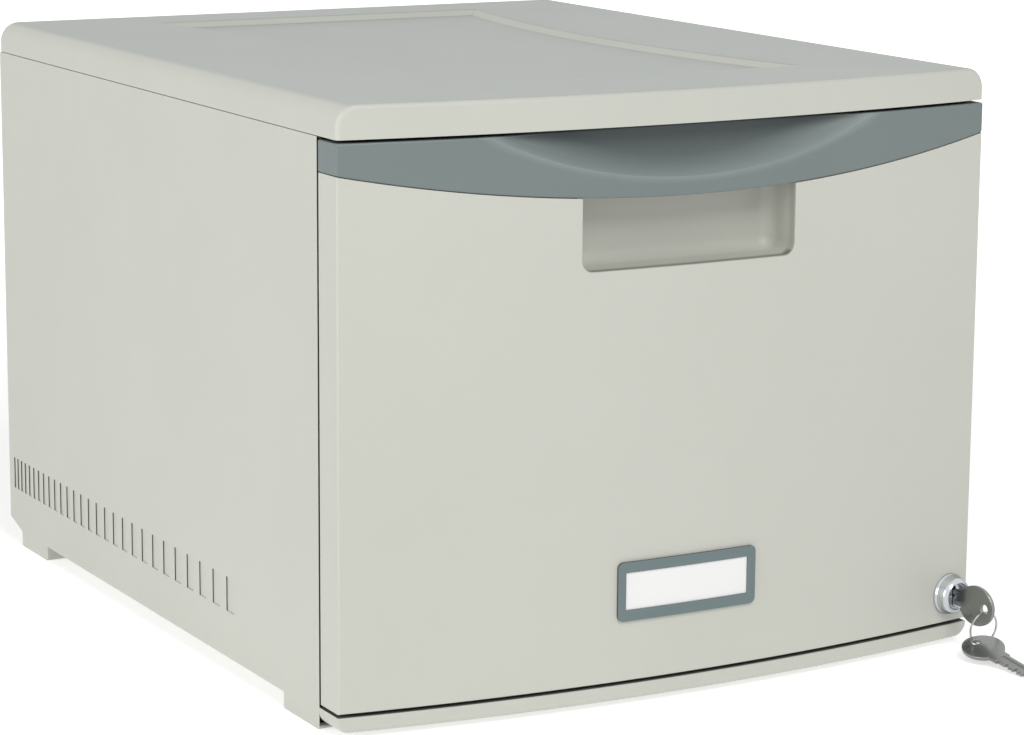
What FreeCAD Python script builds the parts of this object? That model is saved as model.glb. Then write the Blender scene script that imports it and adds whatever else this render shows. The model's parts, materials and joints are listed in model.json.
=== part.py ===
import FreeCAD, Part
import math
import os
import re

import Sketcher

from FreeCAD import Placement, Rotation, Vector

# A desktop file drawer: a moulded case with a bowed cap, one deep drawer on roller
# slides, a scooped handle band over a hand pocket, and a cam lock with two keys.
# Millimetres. X is to the right, the drawer opens towards -Y, Z is up. The origin lies
# on the desk plane, midway between the side panels and near the middle of the depth.

doc = FreeCAD.newDocument("desktop_file_drawer")
sheet = doc.addObject("Spreadsheet::Sheet", "Sizes")

SIZES = [
    # the case
    ("case_width", 376.6, "outside width over the side panels"),
    ("case_depth", 426.1, "side panel depth, front edge to back"),
    ("front_offset", 193.3, "origin to the side panels' front edges"),
    ("case_height", 311, "desk to the top of the cap"),
    ("cap_rise", 17.2, "seam between cap and side panels to the top of the cap"),
    ("case_wall", 3, "wall of every case moulding"),
    ("hem_height", 8.6, "desk to the side panels' lower edges"),
    ("bow_rise", 16.2, "rise of the bowed front over the full width"),
    ("front_return", 21.3, "side panels' front edges to the front's corner line"),
    # the cap
    ("cap_side_radius", 11, "rounding of the cap's side edges"),
    ("cap_boss_radius", 4.5, "screw bosses under the cap"),
    ("tray_depth", 3.5, "depth of the shallow tray in the cap"),
    ("tray_front_margin", 62, "tray's front edge behind the bowed face"),
    ("tray_back_margin", 42, "tray's back edge in front of the case's back"),
    ("tray_half_width", 106, "half width of the tray at its corners"),
    ("tray_waist", 20, "how far the tray's sides curve in"),
    ("tray_slope", 5, "run of the tray's sloping walls"),
    # the side panels
    ("foot_length", 41, "length of a foot along the panel"),
    ("foot_width", 25, "width of a foot, outer face to inner return"),
    ("back_foot_inset", 18.8, "back foot in front of the case's back"),
    ("foot_radius", 2, "rounding of the feet's lower corners"),
    ("heel_rise", 5.9, "height of the chamfer at the panel's back lower corner"),
    ("ledge_width", 14, "inward ledge that carries the cap"),
    ("rail_pad", 2.5, "raised pad that carries the slide"),
    ("rail_pad_margin", 4, "pad beyond the slide's flanges"),
    ("rib_count", 28, "bars in the sunk ornament on each side"),
    ("rib_bottom", 33.5, "desk to the lower ends of the bars"),
    ("rib_height", 18.5, "height of the bars"),
    ("rib_depth", 0.7, "depth of the bars"),
    ("rib_back_inset", 7.8, "first bar in front of the case's back"),
    ("rib_pitch", 5.3, "first pitch of the bars"),
    ("rib_growth", 0.47, "growth of the pitch from bar to bar"),
    ("rib_share", 0.5, "bar width as a share of its pitch"),
    # the back and bottom panels
    ("back_field_inset", 22, "plain border round the back's sunk field"),
    ("back_field_depth", 1, "depth of the back's sunk field"),
    ("chin_bottom", 3.2, "desk to the chin's underside"),
    ("chin_radius", 3, "rounding of the chin's lower front edge"),
    ("chin_hollow", 3.2, "height of the hollow under the chin"),
    ("strike_height", 7.4, "strike above the bottom panel"),
    ("strike_thickness", 1.7, "strike's thickness"),
    ("strike_reach", 8, "strike's half length beside the lock"),
    ("floor_boss_height", 4.4, "screw bosses on the bottom panel"),
    # the roller slides
    ("slide_level", 140, "desk to the running face of the case channel"),
    ("slide_length", 400, "length of both slide members"),
    ("slide_setback", 3.3, "slides behind the side panels' front edges"),
    ("slide_space", 12.7, "room for a slide between pad and drawer"),
    ("slide_metal", 1.2, "steel of the slide members"),
    ("channel_height", 21, "inside height of the case channel"),
    ("flange_width", 10.5, "flanges of the case channel"),
    ("drawer_flange_level", 18.05, "drawer flange above the running face"),
    ("drawer_flange_gap", 2.5, "drawer flange clear of the pad plane"),
    ("drawer_web_rise", 2, "drawer web's lower edge above the running face"),
    ("drawer_travel", 300, "how far the drawer opens"),
    ("roller_radius", 10, "rollers"),
    ("roller_width", 6, "rollers"),
    ("roller_start", 3.2, "rollers clear of the pad plane"),
    ("roller_end_inset", 12, "roller centres in from the slides' ends"),
    ("roller_relief", 11, "half length of the cut-outs beside the rollers"),
    ("case_roller_rise", 8, "front roller's centre above the running face"),
    ("drawer_roller_rise", 10.05, "rear roller's centre above the running face"),
    ("axle_radius", 2, "roller axles"),
    ("axle_play", 0.05, "radial clearance of a roller on its axle"),
    ("axle_collar_radius", 3.6, "six-sided shoulders and heads of the axles, to the corners"),
    ("axle_head", 0.7, "thickness of an axle's head"),
    ("side_play", 0.1, "end play of a roller on its axle"),
    ("stop_drop", 1.5, "stop lug below the channel's upper flange"),
    ("stop_length", 2.5, "stop lug along the channel"),
    # the screws
    ("screw_radius", 1.6, "six-sided shanks, to the corners"),
    ("screw_head_radius", 3.1, "six-sided heads, to the corners"),
    ("screw_head", 1.1, "head thickness"),
    ("screw_length", 9, "case and front screws under the head"),
    ("slide_screw_bite", 4.8, "slide screws into pad and side panel"),
    ("tub_screw_bite", 2.6, "slide screws into the tub's wall"),
    ("cap_screw_inset", 60, "cap screws in from the case's ends"),
    ("back_screw_inset", 40, "back screws in from floor and seam"),
    ("case_screw_rise", 3.3, "case slide screws above the running face"),
    ("drawer_screw_rise", 10, "drawer slide screws above the running face"),
    ("screw_well", 1.2, "wells that sink the heads in the back panel"),
    # the drawer tub
    ("tub_wall", 3, "tub's walls and floor"),
    ("tub_bottom", 22, "desk to the tub's underside"),
    ("tub_setback", 9.3, "tub behind the side panels' front edges"),
    ("tub_length", 394, "tub's outside length"),
    ("rim_drop", 17.8, "tub's rim below the seam"),
    ("tub_corner", 9, "tub's upright corners"),
    ("hanger_inset", 12.6, "middles of the side hanging rails in from the tub's sides"),
    ("hanger_height", 7, "hanging rails above the rim"),
    ("hanger_end_gap", 14, "hanging rails short of the tub's corners"),
    # the drawer front
    ("front_gap", 1.6, "drawer front in front of the side panels"),
    ("front_bottom", 13.4, "desk to the drawer front's lower edge"),
    ("front_top_gap", 1.2, "handle band's upper edge below the seam"),
    ("front_wall", 3, "drawer front's wall"),
    ("front_edge_radius", 1.2, "drawer front's upright front corners"),
    ("boss_radius", 5, "screw bosses behind the drawer front"),
    ("boss_spread", 240, "between the bosses, across"),
    ("boss_low", 60, "desk to the lower bosses"),
    ("boss_high", 200, "desk to the upper bosses"),
    ("band_height", 34.2, "band at its middle, lower edge to upper edge"),
    ("band_rise", 18.6, "rise of the band's lower edge to its ends"),
    ("grip_wall", 4, "band's thickness above the hand pocket"),
    ("scoop_lift", 9.5, "scoop's lower edge above the band's, at the middle"),
    ("scoop_depth", 12, "scoop's greatest depth"),
    ("scoop_tube", 30, "radius of the scoop's hollow"),
    ("scoop_sweep", 317.8, "sweep radius of the scoop"),
    ("pocket_width", 124, "hand pocket"),
    ("pocket_drop", 34.8, "hand pocket's floor below the band's lower edge"),
    ("grip_lift", 6.1, "pocket's roof above the band's lower edge"),
    ("pocket_depth", 25.3, "hand pocket behind the bow's crest"),
    ("pocket_corner", 6, "hand pocket's front corners"),
    ("pocket_blend", 9, "hand pocket's inner rounding"),
    ("pocket_wall", 2.5, "wall round the hand pocket"),
    # the label holder
    ("label_width", 81.4, "label frame"),
    ("label_height", 30.4, "label frame"),
    ("label_middle", 60.1, "desk to the middle of the label frame"),
    ("label_corner", 3, "label frame's corners"),
    ("label_proud", 1.5, "label frame in front of the face"),
    ("window_width", 72, "window in the label frame"),
    ("window_height", 19.3, "window in the label frame"),
    ("card_lap", 2.2, "card behind the frame's edges"),
    ("card_recess", 1, "recess for the card"),
    ("card_thickness", 0.5, "card"),
    # the lock
    ("lock_inset", 13.8, "lock's axis in from the case's side"),
    ("lock_height", 29, "desk to the lock's axis"),
    ("bezel_radius", 11.25, "lock bezel"),
    ("bezel_rim", 8.2, "outer radius of the bezel's rim"),
    ("bezel_mouth", 7.4, "inner radius of the bezel's rim"),
    ("bezel_height", 8, "bezel in front of the face"),
    ("bezel_step", 1, "straight edge of the bezel"),
    ("barrel_radius", 8.2, "lock barrel"),
    ("barrel_length", 24, "lock barrel behind the face"),
    ("plug_radius", 6.2, "lock plug"),
    ("plug_play", 0.05, "radial clearance of the plug"),
    ("plug_face", 4.4, "plug's face in front of the drawer front"),
    ("clip_thickness", 1, "retaining clip"),
    ("clip_play", 0.05, "clip's clearance round the barrel"),
    ("clip_reach", 10, "clip's half height"),
    ("stem_length", 3.2, "plug behind the barrel, in front of the cam"),
    ("cam_square", 5, "square that drives the cam"),
    ("clip_side", 8.9, "clip's outer side to the lock's axis"),
    ("clip_tail", 12, "clip's open ends to the lock's axis"),
    ("cam_thickness", 2, "cam"),
    ("cam_length", 15.5, "cam, axis to tip"),
    ("cam_width", 10, "cam"),
    ("key_slot_height", 9.9, "keyway"),
    ("key_slot_play", 0.2, "keyway's clearance on each side of a key"),
    # the keys and their ring
    ("key_thickness", 2, "keys"),
    ("key_blade", 20.5, "blade beyond the shoulder"),
    ("key_blade_height", 7.5, "blade"),
    ("key_neck", 4, "neck between shoulder and bow"),
    ("key_bow_length", 24.8, "key's bow along the key"),
    ("key_bow_width", 21.6, "key's bow across the key"),
    ("key_hole_radius", 2.5, "hole in the key's bow"),
    ("key_hole_offset", 6.3, "hole beyond the bow's middle"),
    ("key_groove_depth", 0.5, "milled groove in the blade"),
    ("key_groove_height", 1.6, "milled groove in the blade"),
    ("key_cut_pitch", 3.4, "pitch of the blade's cuts"),
    ("key_droop", 4.5, "degrees that the key droops in its keyway"),
    ("key_seat", 0.5, "shoulder clear of the plug's face"),
    ("key_sag", 0.85, "shoulder below the lock's axis"),
    ("ring_radius", 9, "key ring, to the middle of its wire"),
    ("ring_wire", 0.42, "half the thickness of the ring's wire"),
    ("ring_slack", 0.3, "wire clear of the holes' edges"),
    ("ring_lean", 5, "degrees that the ring leans to the drawer"),
    ("ring_turn", 5, "degrees that the ring is turned about the upright"),
    ("ring_swing_place", 28, "degrees round the ring to the spare key"),
    ("spare_yaw", -6.905, "degrees that the spare key is turned from the lock's axis"),
    ("spare_dip", 7.5, "degrees that the spare key points down"),
    ("spare_roll", 14, "degrees that the spare key leans sideways"),
]

# Places that follow from the sizes above, each with its formula.
PLACES = [
    ("seam_height", "=case_height - cap_rise", "desk to the seam under the cap"),
    ("front_top", "=seam_height - front_top_gap", "desk to the handle band's upper edge"),
    ("band_middle", "=front_top - band_height", "desk to the band's lower edge, middle"),
    ("scoop_edge", "=band_middle + scoop_lift", "desk to the scoop's lower edge, middle"),
    ("pocket_bottom", "=band_middle - pocket_drop", "desk to the hand pocket's floor"),
    ("pocket_top", "=band_middle + grip_lift", "desk to the pocket's roof"),
    ("tub_rim", "=seam_height - rim_drop", "desk to the tub's rim"),
    ("lock_place", "=case_width / 2 - lock_inset", "lock's axis from the middle"),
    ("tub_half", "=case_width / 2 - case_wall - rail_pad - slide_space", "half the tub"),
    ("hanger_span", "=2 * (tub_half - hanger_inset)", "between the hanging rails"),
]

ALIAS = re.compile(r"[a-z]+(?:_[a-z]+)+")


def cells(text):
    """Point every size named in an expression at its cell in the sheet."""
    return ALIAS.sub(lambda found: "Sizes." + found.group(0), text)


for row, (alias, value, note) in enumerate(SIZES + PLACES, start=1):
    sheet.set(f"A{row}", alias)
    sheet.set(f"B{row}", str(value))
    sheet.set(f"C{row}", note)
    sheet.setAlias(f"B{row}", alias)
doc.recompute()


def number(text):
    """Work out an expression of sizes as a plain number."""
    result = sheet.evalExpression(cells(text))
    return float(getattr(result, "Value", result))


def bind(item, **expressions):
    """Bind properties to expressions; in a name, two underscores stand for a dot."""
    for name, text in expressions.items():
        item.setExpression(name.replace("__", "."), cells(text))
    return item


# Planes and radii that several pieces share, as expressions of the sizes.
HALF = "(case_width / 2)"
BACK = "(case_depth - front_offset)"
FACE = "(-(front_offset + front_return))"
CREST = "(-(front_offset + front_return + bow_rise))"
BOW = "(((case_width / 2)^2 + bow_rise^2) / (2 * bow_rise))"
BOW_MIDDLE = f"({CREST} + {BOW})"
INNER = "(case_width / 2 - case_wall)"
FLOOR = "(hem_height + case_wall)"
HEEL_TOP = "(hem_height + heel_rise + case_wall)"
PAD_PLANE = "(case_width / 2 - case_wall - rail_pad)"
TUB_HALF = "tub_half"
TUB_FRONT = "(tub_setback - front_offset)"
TUB_BACK = "(tub_setback - front_offset + tub_length)"
SLIDE_FRONT = "(slide_setback - front_offset)"
SLIDE_BACK = "(slide_setback - front_offset + slide_length)"
CASE_ROLLER = f"({SLIDE_FRONT} + roller_end_inset)"
DRAWER_ROLLER = f"({SLIDE_BACK} - roller_end_inset)"
FRONT_REAR = "(-(front_offset + front_gap))"
BAND = "(((case_width / 2)^2 + band_rise^2) / (2 * band_rise))"
BAND_MIDDLE = f"(band_middle + {BAND})"
POCKET_REAR = f"({CREST} + pocket_depth)"
SCOOP_DROP = "sqrt(scoop_tube^2 - (scoop_tube - scoop_depth)^2)"
SCOOP_TOP = f"(scoop_edge + {SCOOP_DROP} + scoop_sweep - front_top)"
SCOOP_HALF = f"sqrt((scoop_sweep + {SCOOP_DROP})^2 - {SCOOP_TOP}^2)"


def face_at(across):
    """Depth of the bowed face at a distance from the middle, as an expression."""
    return f"({BOW_MIDDLE} - sqrt({BOW}^2 - ({across})^2))"


# ---------------------------------------------------------------- primitives
def box(name, across, along, up):
    """A box between pairs of expressions along X, Y and Z."""
    item = doc.addObject("Part::Box", name)
    for side, axis, (low, high) in zip(
        ("Length", "Width", "Height"), "xyz", (across, along, up)
    ):
        bind(item, **{side: f"abs(({high}) - ({low}))"})
        bind(item, **{f"Placement__Base__{axis}": f"min({low}; {high})"})
    return item


WAYS = {
    "+X": Rotation(Vector(0, 1, 0), 90),
    "-X": Rotation(Vector(0, 1, 0), -90),
    "+Y": Rotation(Vector(1, 0, 0), -90),
    "-Y": Rotation(Vector(1, 0, 0), 90),
    "+Z": Rotation(),
    "-Z": Rotation(Vector(1, 0, 0), 180),
}


def placed(item, way, at):
    """Start an upright item at a point and turn it to one of the six ways."""
    item.Placement = Placement(Vector(), WAYS[way])
    x, y, z = at
    return bind(item, Placement__Base__x=x, Placement__Base__y=y, Placement__Base__z=z)


def cylinder(name, way, at, radius, length):
    """A cylinder that starts at a point and runs one of the six ways."""
    item = bind(doc.addObject("Part::Cylinder", name), Radius=radius, Height=length)
    return placed(item, way, at)


def hexagon(name, way, at, radius, length):
    """A six-sided post or hole; the radius reaches to its corners."""
    item = doc.addObject("Part::Prism", name)
    item.Polygon = 6
    bind(item, Circumradius=radius, Height=length)
    return placed(item, way, at)


def gather(kind, name, items):
    """Join, intersect or group several objects."""
    item = doc.addObject(kind, name)
    setattr(item, "Links" if kind == "Part::Compound" else "Shapes", list(items))
    return item


def fuse(name, *items):
    return gather("Part::MultiFuse", name, items)


def common(name, *items):
    return gather("Part::MultiCommon", name, items)


def group(name, *items):
    return gather("Part::Compound", name, items)


def cut(name, base, *tools):
    """Take the tools out of the base."""
    item = doc.addObject("Part::Cut", name)
    item.Base = base
    item.Tool = tools[0] if len(tools) == 1 else group(name + "_tools", *tools)
    return item


def mirrored(name, source):
    """The same piece on the other side of the middle plane."""
    item = doc.addObject("Part::Mirroring", name)
    item.Source = source
    item.Normal = Vector(1, 0, 0)
    return item


def bowed(name, half, rear, up, inset="0"):
    """A block whose front follows the bow, set back from the face by the inset."""
    block = box(name + "_block", (f"-{half}", half), (f"{CREST} - 5", rear), up)
    drum = cylinder(
        name + "_bow", "+Z", ("0", BOW_MIDDLE, up[0]), f"{BOW} - ({inset})",
        f"({up[1]}) - ({up[0]})",
    )
    return common(name, block, drum)


def screw(name, way, at, length="screw_length"):
    """A hexagon screw; the point lies under its head and the shank runs the way."""
    back = {"+": "-", "-": "+"}[way[0]] + way[1]
    head = hexagon(name + "_head", back, at, "screw_head_radius", "screw_head")
    shank = hexagon(name + "_shank", way, at, "screw_radius", length)
    return fuse(name, head, shank)


# ------------------------------------------------------- sketches and features
def new_body(name):
    return doc.addObject("PartDesign::Body", name)


def sketch_on(body, name, role, at="0"):
    """A sketch on one of the body's origin planes, moved to a place across it."""
    item = body.newObject("Sketcher::SketchObject", name)
    plane = next(f for f in body.Origin.OriginFeatures if f.Role == role)
    item.AttachmentSupport = [(plane, "")]
    item.MapMode = "FlatFace"
    sign = "-" if role == "XZ_Plane" else ""
    return bind(item, AttachmentOffset__Base__z=f"{sign}({at})")


def pin(sketch, element, end, x, y):
    """Hold a point of a sketch at two distances from the origin."""
    for kind, text, axis in (("DistanceX", x, -2), ("DistanceY", y, -1)):
        distance = number(text)
        if abs(distance) < 1e-9:
            rule = Sketcher.Constraint("PointOnObject", element, end, axis)
            sketch.addConstraint(rule)
            continue
        index = sketch.addConstraint(Sketcher.Constraint(kind, -1, 1, element, end, distance))
        sketch.setExpression(f"Constraints[{index}]", cells(text))


def outline(sketch, points, arcs=None):
    """A closed outline; arcs gives an edge a radius, positive where it bulges right."""
    arcs = arcs or {}
    spots = [Vector(number(x), number(y), 0) for x, y in points]
    ends = []
    for index, start in enumerate(spots):
        stop = spots[(index + 1) % len(spots)]
        if index in arcs:
            radius = number(arcs[index])
            chord = stop - start
            left = Vector(-chord.y, chord.x, 0).normalize()
            reach = math.sqrt(max(radius**2 - chord.Length**2 / 4, 0))
            centre = (start + stop) * 0.5 + left * math.copysign(reach, radius)
            first, last = (start, stop) if radius > 0 else (stop, start)
            curve = Part.ArcOfCircle(
                Part.Circle(centre, Vector(0, 0, 1), abs(radius)),
                math.atan2(first.y - centre.y, first.x - centre.x),
                math.atan2(last.y - centre.y, last.x - centre.x),
            )
            element = sketch.addGeometry(curve)
            ends.append((element, (1, 2) if radius > 0 else (2, 1)))
        else:
            element = sketch.addGeometry(Part.LineSegment(start, stop))
            ends.append((element, (1, 2)))
    for index, (element, (first, last)) in enumerate(ends):
        after, (begin, _) = ends[(index + 1) % len(ends)]
        sketch.addConstraint(Sketcher.Constraint("Coincident", element, last, after, begin))
        pin(sketch, element, first, *points[index])
        if index in arcs:
            rule = Sketcher.Constraint("Radius", element, abs(number(arcs[index])))
            place = sketch.addConstraint(rule)
            sketch.setExpression(f"Constraints[{place}]", cells(f"abs({arcs[index]})"))
    return sketch


def rectangle(sketch, across, up):
    """A closed rectangle between pairs of expressions."""
    (left, right), (low, high) = across, up
    return outline(sketch, [(left, low), (right, low), (right, high), (left, high)])


def rounded_rectangle(sketch, across, up, radius):
    """A rectangle with equal quarter circles at its corners."""
    (left, right), (low, high) = across, up
    points = [
        (f"{left} + {radius}", low), (f"{right} - {radius}", low),
        (right, f"{low} + {radius}"), (right, f"{high} - {radius}"),
        (f"{right} - {radius}", high), (f"{left} + {radius}", high),
        (left, f"{high} - {radius}"), (left, f"{low} + {radius}"),
    ]
    return outline(sketch, points, {index: radius for index in (1, 3, 5, 7)})


def feature(body, kind, name, sketch, length, backwards=False):
    """A Pad or a Pocket of a sketch."""
    item = body.newObject("PartDesign::" + kind, name)
    item.Profile = sketch
    item.Reversed = backwards
    bind(item, Length=length)
    body.Tip = item
    doc.recompute()
    return item


def revolve(body, name, sketch, kind="Revolution", axis="V_Axis"):
    """A full turn of a sketch about one of its own axes."""
    item = body.newObject("PartDesign::" + kind, name)
    item.Profile = sketch
    item.ReferenceAxis = (sketch, [axis])
    item.Angle = 360
    body.Tip = item
    doc.recompute()
    return item


def rounded(body, name, radius, test):
    """Fillet those edges of the tip whose middle and direction pass the test."""
    doc.recompute()
    tip = body.Tip
    chosen = []
    for index, edge in enumerate(tip.Shape.Edges, start=1):
        middle = edge.valueAt((edge.FirstParameter + edge.LastParameter) / 2)
        if test(middle, edge.BoundBox):
            chosen.append(f"Edge{index}")
    if not chosen:
        raise RuntimeError(f"{name}: no edge to round")
    item = body.newObject("PartDesign::Fillet", name)
    item.Base = (tip, chosen)
    bind(item, Radius=radius)
    body.Tip = item
    doc.recompute()
    return item


def near(value, text, margin=0.02):
    return abs(value - number(text)) < margin


# ------------------------------------------------------------------- the cap
def bow_outline(sketch, inset):
    """The cap's plan: straight back and sides, bowed front."""
    side = f"({HALF} - {inset})"
    corner = face_at_inset(side, inset)
    points = [(f"-{side}", corner), (side, corner), (side, f"{BACK} - {inset}")]
    points.append((f"-{side}", f"{BACK} - {inset}"))
    return outline(sketch, points, {0: f"{BOW} - {inset}"})


def face_at_inset(across, inset):
    """Depth of a surface parallel to the bowed face, as an expression."""
    return f"({BOW_MIDDLE} - sqrt(({BOW} - {inset})^2 - ({across})^2))"


def tray_outline(sketch, inset):
    """The tray's plan: front edge parallel to the bow, sides curving in."""
    half = f"(tray_half_width - {inset})"
    margin = f"(tray_front_margin + {inset})"
    front = face_at_inset(half, margin)
    rear = f"({BACK} - tray_back_margin - {inset})"
    run = f"(({rear}) - {front})"
    waist = f"(-((({run}) / 2)^2 + tray_waist^2) / (2 * tray_waist))"
    points = [(f"-{half}", front), (half, front), (half, rear), (f"-{half}", rear)]
    return outline(sketch, points, {0: f"{BOW} - {margin}", 1: waist, 3: waist})


def make_top_panel():
    """The cap: a bowed shell with a tray in its top and screw bosses beneath."""
    body = new_body("top_panel_shell")
    plan = bow_outline(sketch_on(body, "cap_plan", "XY_Plane", "seam_height"), "0")
    feature(body, "Pad", "cap_block", plan, "case_height - seam_height")
    rounded(
        body, "cap_sides", "cap_side_radius",
        lambda p, b: near(p.z, "case_height") and near(abs(p.x), HALF),
    )
    upper = tray_outline(sketch_on(body, "tray_edge", "XY_Plane", "case_height"), "0")
    lower = tray_outline(
        sketch_on(body, "tray_floor", "XY_Plane", "case_height - tray_depth"),
        "tray_slope",
    )
    tray = body.newObject("PartDesign::SubtractiveLoft", "tray")
    tray.Profile = upper
    tray.Sections = [lower]
    tray.Ruled = True
    body.Tip = tray
    doc.recompute()
    hollow = bow_outline(
        sketch_on(body, "hollow_plan", "XY_Plane", "seam_height"), "case_wall"
    )
    feature(
        body, "Pocket", "hollow", hollow,
        "case_height - seam_height - tray_depth - case_wall", True,
    )
    deeper = sketch_on(body, "margin_plan", "XY_Plane", "seam_height")
    bow_outline(deeper, "(cap_side_radius)")
    tray_outline(deeper, "(-case_wall)")
    feature(body, "Pocket", "margin", deeper, "case_height - seam_height - case_wall", True)
    bosses = [
        hexagon(
            f"cap_boss_{index}", "+Z", (x, y, "seam_height"), "cap_boss_radius",
            "case_height - seam_height - case_wall / 2",
        )
        for index, (x, y) in enumerate(TOP_SCREWS)
    ]
    shell = fuse("top_panel_bossed", body, *bosses)
    pilots = [
        hexagon(f"cap_pilot_{index}", "+Z", (x, y, "seam_height"), "screw_radius",
                 "screw_length - case_wall")
        for index, (x, y) in enumerate(TOP_SCREWS)
    ]
    return cut("top_panel", shell, *pilots)


# ---------------------------------------------------------------- the case
def panel_outline(sketch):
    """A side panel from the side: two feet, a hem between them and a raised heel."""
    front = "-front_offset"
    foot_back = f"({BACK} - back_foot_inset)"
    points = [
        (front, "0"),
        ("foot_length - front_offset", "0"),
        ("foot_length - front_offset", "hem_height"),
        (f"{foot_back} - foot_length", "hem_height"),
        (f"{foot_back} - foot_length", "0"),
        (foot_back, "0"),
        (foot_back, "hem_height"),
        (BACK, "hem_height + heel_rise"),
        (BACK, "seam_height"),
        (front, "seam_height"),
    ]
    return outline(sketch, points)


def ornament_bars():
    """Sunk upright bars along the panel, further apart towards the front."""
    bars, inset = [], "rib_back_inset"
    for index in range(int(number("rib_count"))):
        pitch = f"(rib_pitch + rib_growth * {index})"
        start = f"({BACK} - {inset})"
        bars.append(
            box(
                f"ornament_bar_{index}",
                (f"-{HALF} - 1", f"-{HALF} + rib_depth"),
                (start, f"{start} - rib_share * {pitch}"),
                ("rib_bottom", "rib_bottom + rib_height"),
            )
        )
        inset = f"(rib_back_inset + rib_pitch * {index + 1} + rib_growth * {index * (index + 1) / 2})"
    return bars


def make_side_panels():
    """The left side panel with feet, cap ledge, back flange and slide pad, and its twin."""
    body = new_body("side_panel_shell")
    profile = panel_outline(sketch_on(body, "side_outline", "YZ_Plane", f"-{HALF}"))
    feature(body, "Pad", "side_wall", profile, "case_wall")
    feet = sketch_on(body, "feet_plan", "XY_Plane", "0")
    inside = sketch_on(body, "feet_hollow_plan", "XY_Plane", "0")
    foot_back = f"({BACK} - back_foot_inset)"
    for low, high in (
        ("-front_offset", "foot_length - front_offset"),
        (f"{foot_back} - foot_length", foot_back),
    ):
        rectangle(feet, (f"-{HALF}", f"foot_width - {HALF}"), (low, high))
        rectangle(
            inside,
            (f"-{INNER}", f"foot_width - case_wall - {HALF}"),
            (f"{low} + case_wall", f"{high} - case_wall"),
        )
    feature(body, "Pad", "feet", feet, "hem_height")
    feature(body, "Pocket", "feet_hollows", inside, "hem_height - case_wall", True)
    rounded(
        body, "feet_corners", "foot_radius",
        lambda p, b: near(p.z, "0") and b.XLength > 20 and b.YLength < 0.1
        and not near(abs(p.x), INNER, 1),
    )
    ledge = sketch_on(body, "ledge_section", "XZ_Plane", BACK)
    rectangle(
        ledge, (f"-{INNER}", f"ledge_width - {INNER}"),
        ("seam_height - case_wall", "seam_height"),
    )
    feature(body, "Pad", "ledge", ledge, "case_depth")
    flange = sketch_on(body, "back_flange_plan", "XY_Plane", HEEL_TOP)
    rectangle(
        flange, (f"-{INNER}", f"ledge_width - {INNER}"),
        (f"{BACK} - 2 * case_wall", f"{BACK} - case_wall"),
    )
    feature(body, "Pad", "back_flange", flange, f"seam_height - {HEEL_TOP}")
    pad = sketch_on(body, "slide_pad_section", "XZ_Plane", SLIDE_BACK)
    rectangle(
        pad, (f"-{INNER}", f"-{PAD_PLANE}"),
        (
            "slide_level - slide_metal - rail_pad_margin",
            "slide_level + channel_height + slide_metal + rail_pad_margin",
        ),
    )
    feature(body, "Pad", "slide_pad", pad, "slide_length")
    holes = [
        hexagon(f"side_slide_pilot_{index}", "-X", (f"-{PAD_PLANE}", y, z),
                 "screw_radius", "slide_screw_bite")
        for index, (y, z) in enumerate(CASE_SLIDE_SCREWS)
    ]
    holes += [
        hexagon(f"side_ledge_hole_{index}", "-Z", (x, y, "seam_height"),
                 "screw_radius", "case_wall")
        for index, (x, y) in enumerate(TOP_SCREWS[:2])
    ]
    holes += [
        hexagon(f"side_foot_hole_{index}", "-Z", (x, y, "hem_height"),
                 "screw_radius", "case_wall")
        for index, (x, y) in enumerate(FLOOR_SCREWS[:2])
    ]
    holes += [
        hexagon(f"side_back_hole_{index}", "-Y", (x, f"{BACK} - case_wall", z),
                 "screw_radius", "case_wall")
        for index, (x, z) in enumerate(BACK_SCREWS[:2])
    ]
    back_notch = box(
        "side_back_notch", (f"-{INNER}", f"ledge_width + 1 - {INNER}"),
        (f"{BACK} - case_wall", f"{BACK} + 1"),
        ("seam_height - case_wall", "seam_height"),
    )
    left = cut("left_side_panel", body, *ornament_bars(), *holes, back_notch)
    return left, mirrored("right_side_panel", left)


def make_back_panel():
    """The back: a flat panel with a sunk field and wells for its screws."""
    body = new_body("back_panel_plate")
    plate = sketch_on(body, "back_plate", "XZ_Plane", BACK)
    rectangle(plate, (f"-{INNER}", INNER), (HEEL_TOP, "seam_height"))
    feature(body, "Pad", "back_plate_pad", plate, "case_wall")
    field = sketch_on(body, "back_field", "XZ_Plane", BACK)
    inset = "back_field_inset"
    rectangle(
        field, (f"{inset} - {INNER}", f"{INNER} - {inset}"),
        (f"{HEEL_TOP} + {inset}", f"seam_height - {inset}"),
    )
    feature(body, "Pocket", "back_field_pocket", field, "back_field_depth", True)
    tools = []
    for index, (x, z) in enumerate(BACK_SCREWS):
        tools.append(hexagon(f"back_well_{index}", "-Y", (x, BACK, z),
                              "screw_head_radius + 1", "screw_well"))
        tools.append(hexagon(f"back_hole_{index}", "-Y", (x, BACK, z),
                              "screw_radius", "case_wall"))
    return cut("back_panel", body, *tools)


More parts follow.
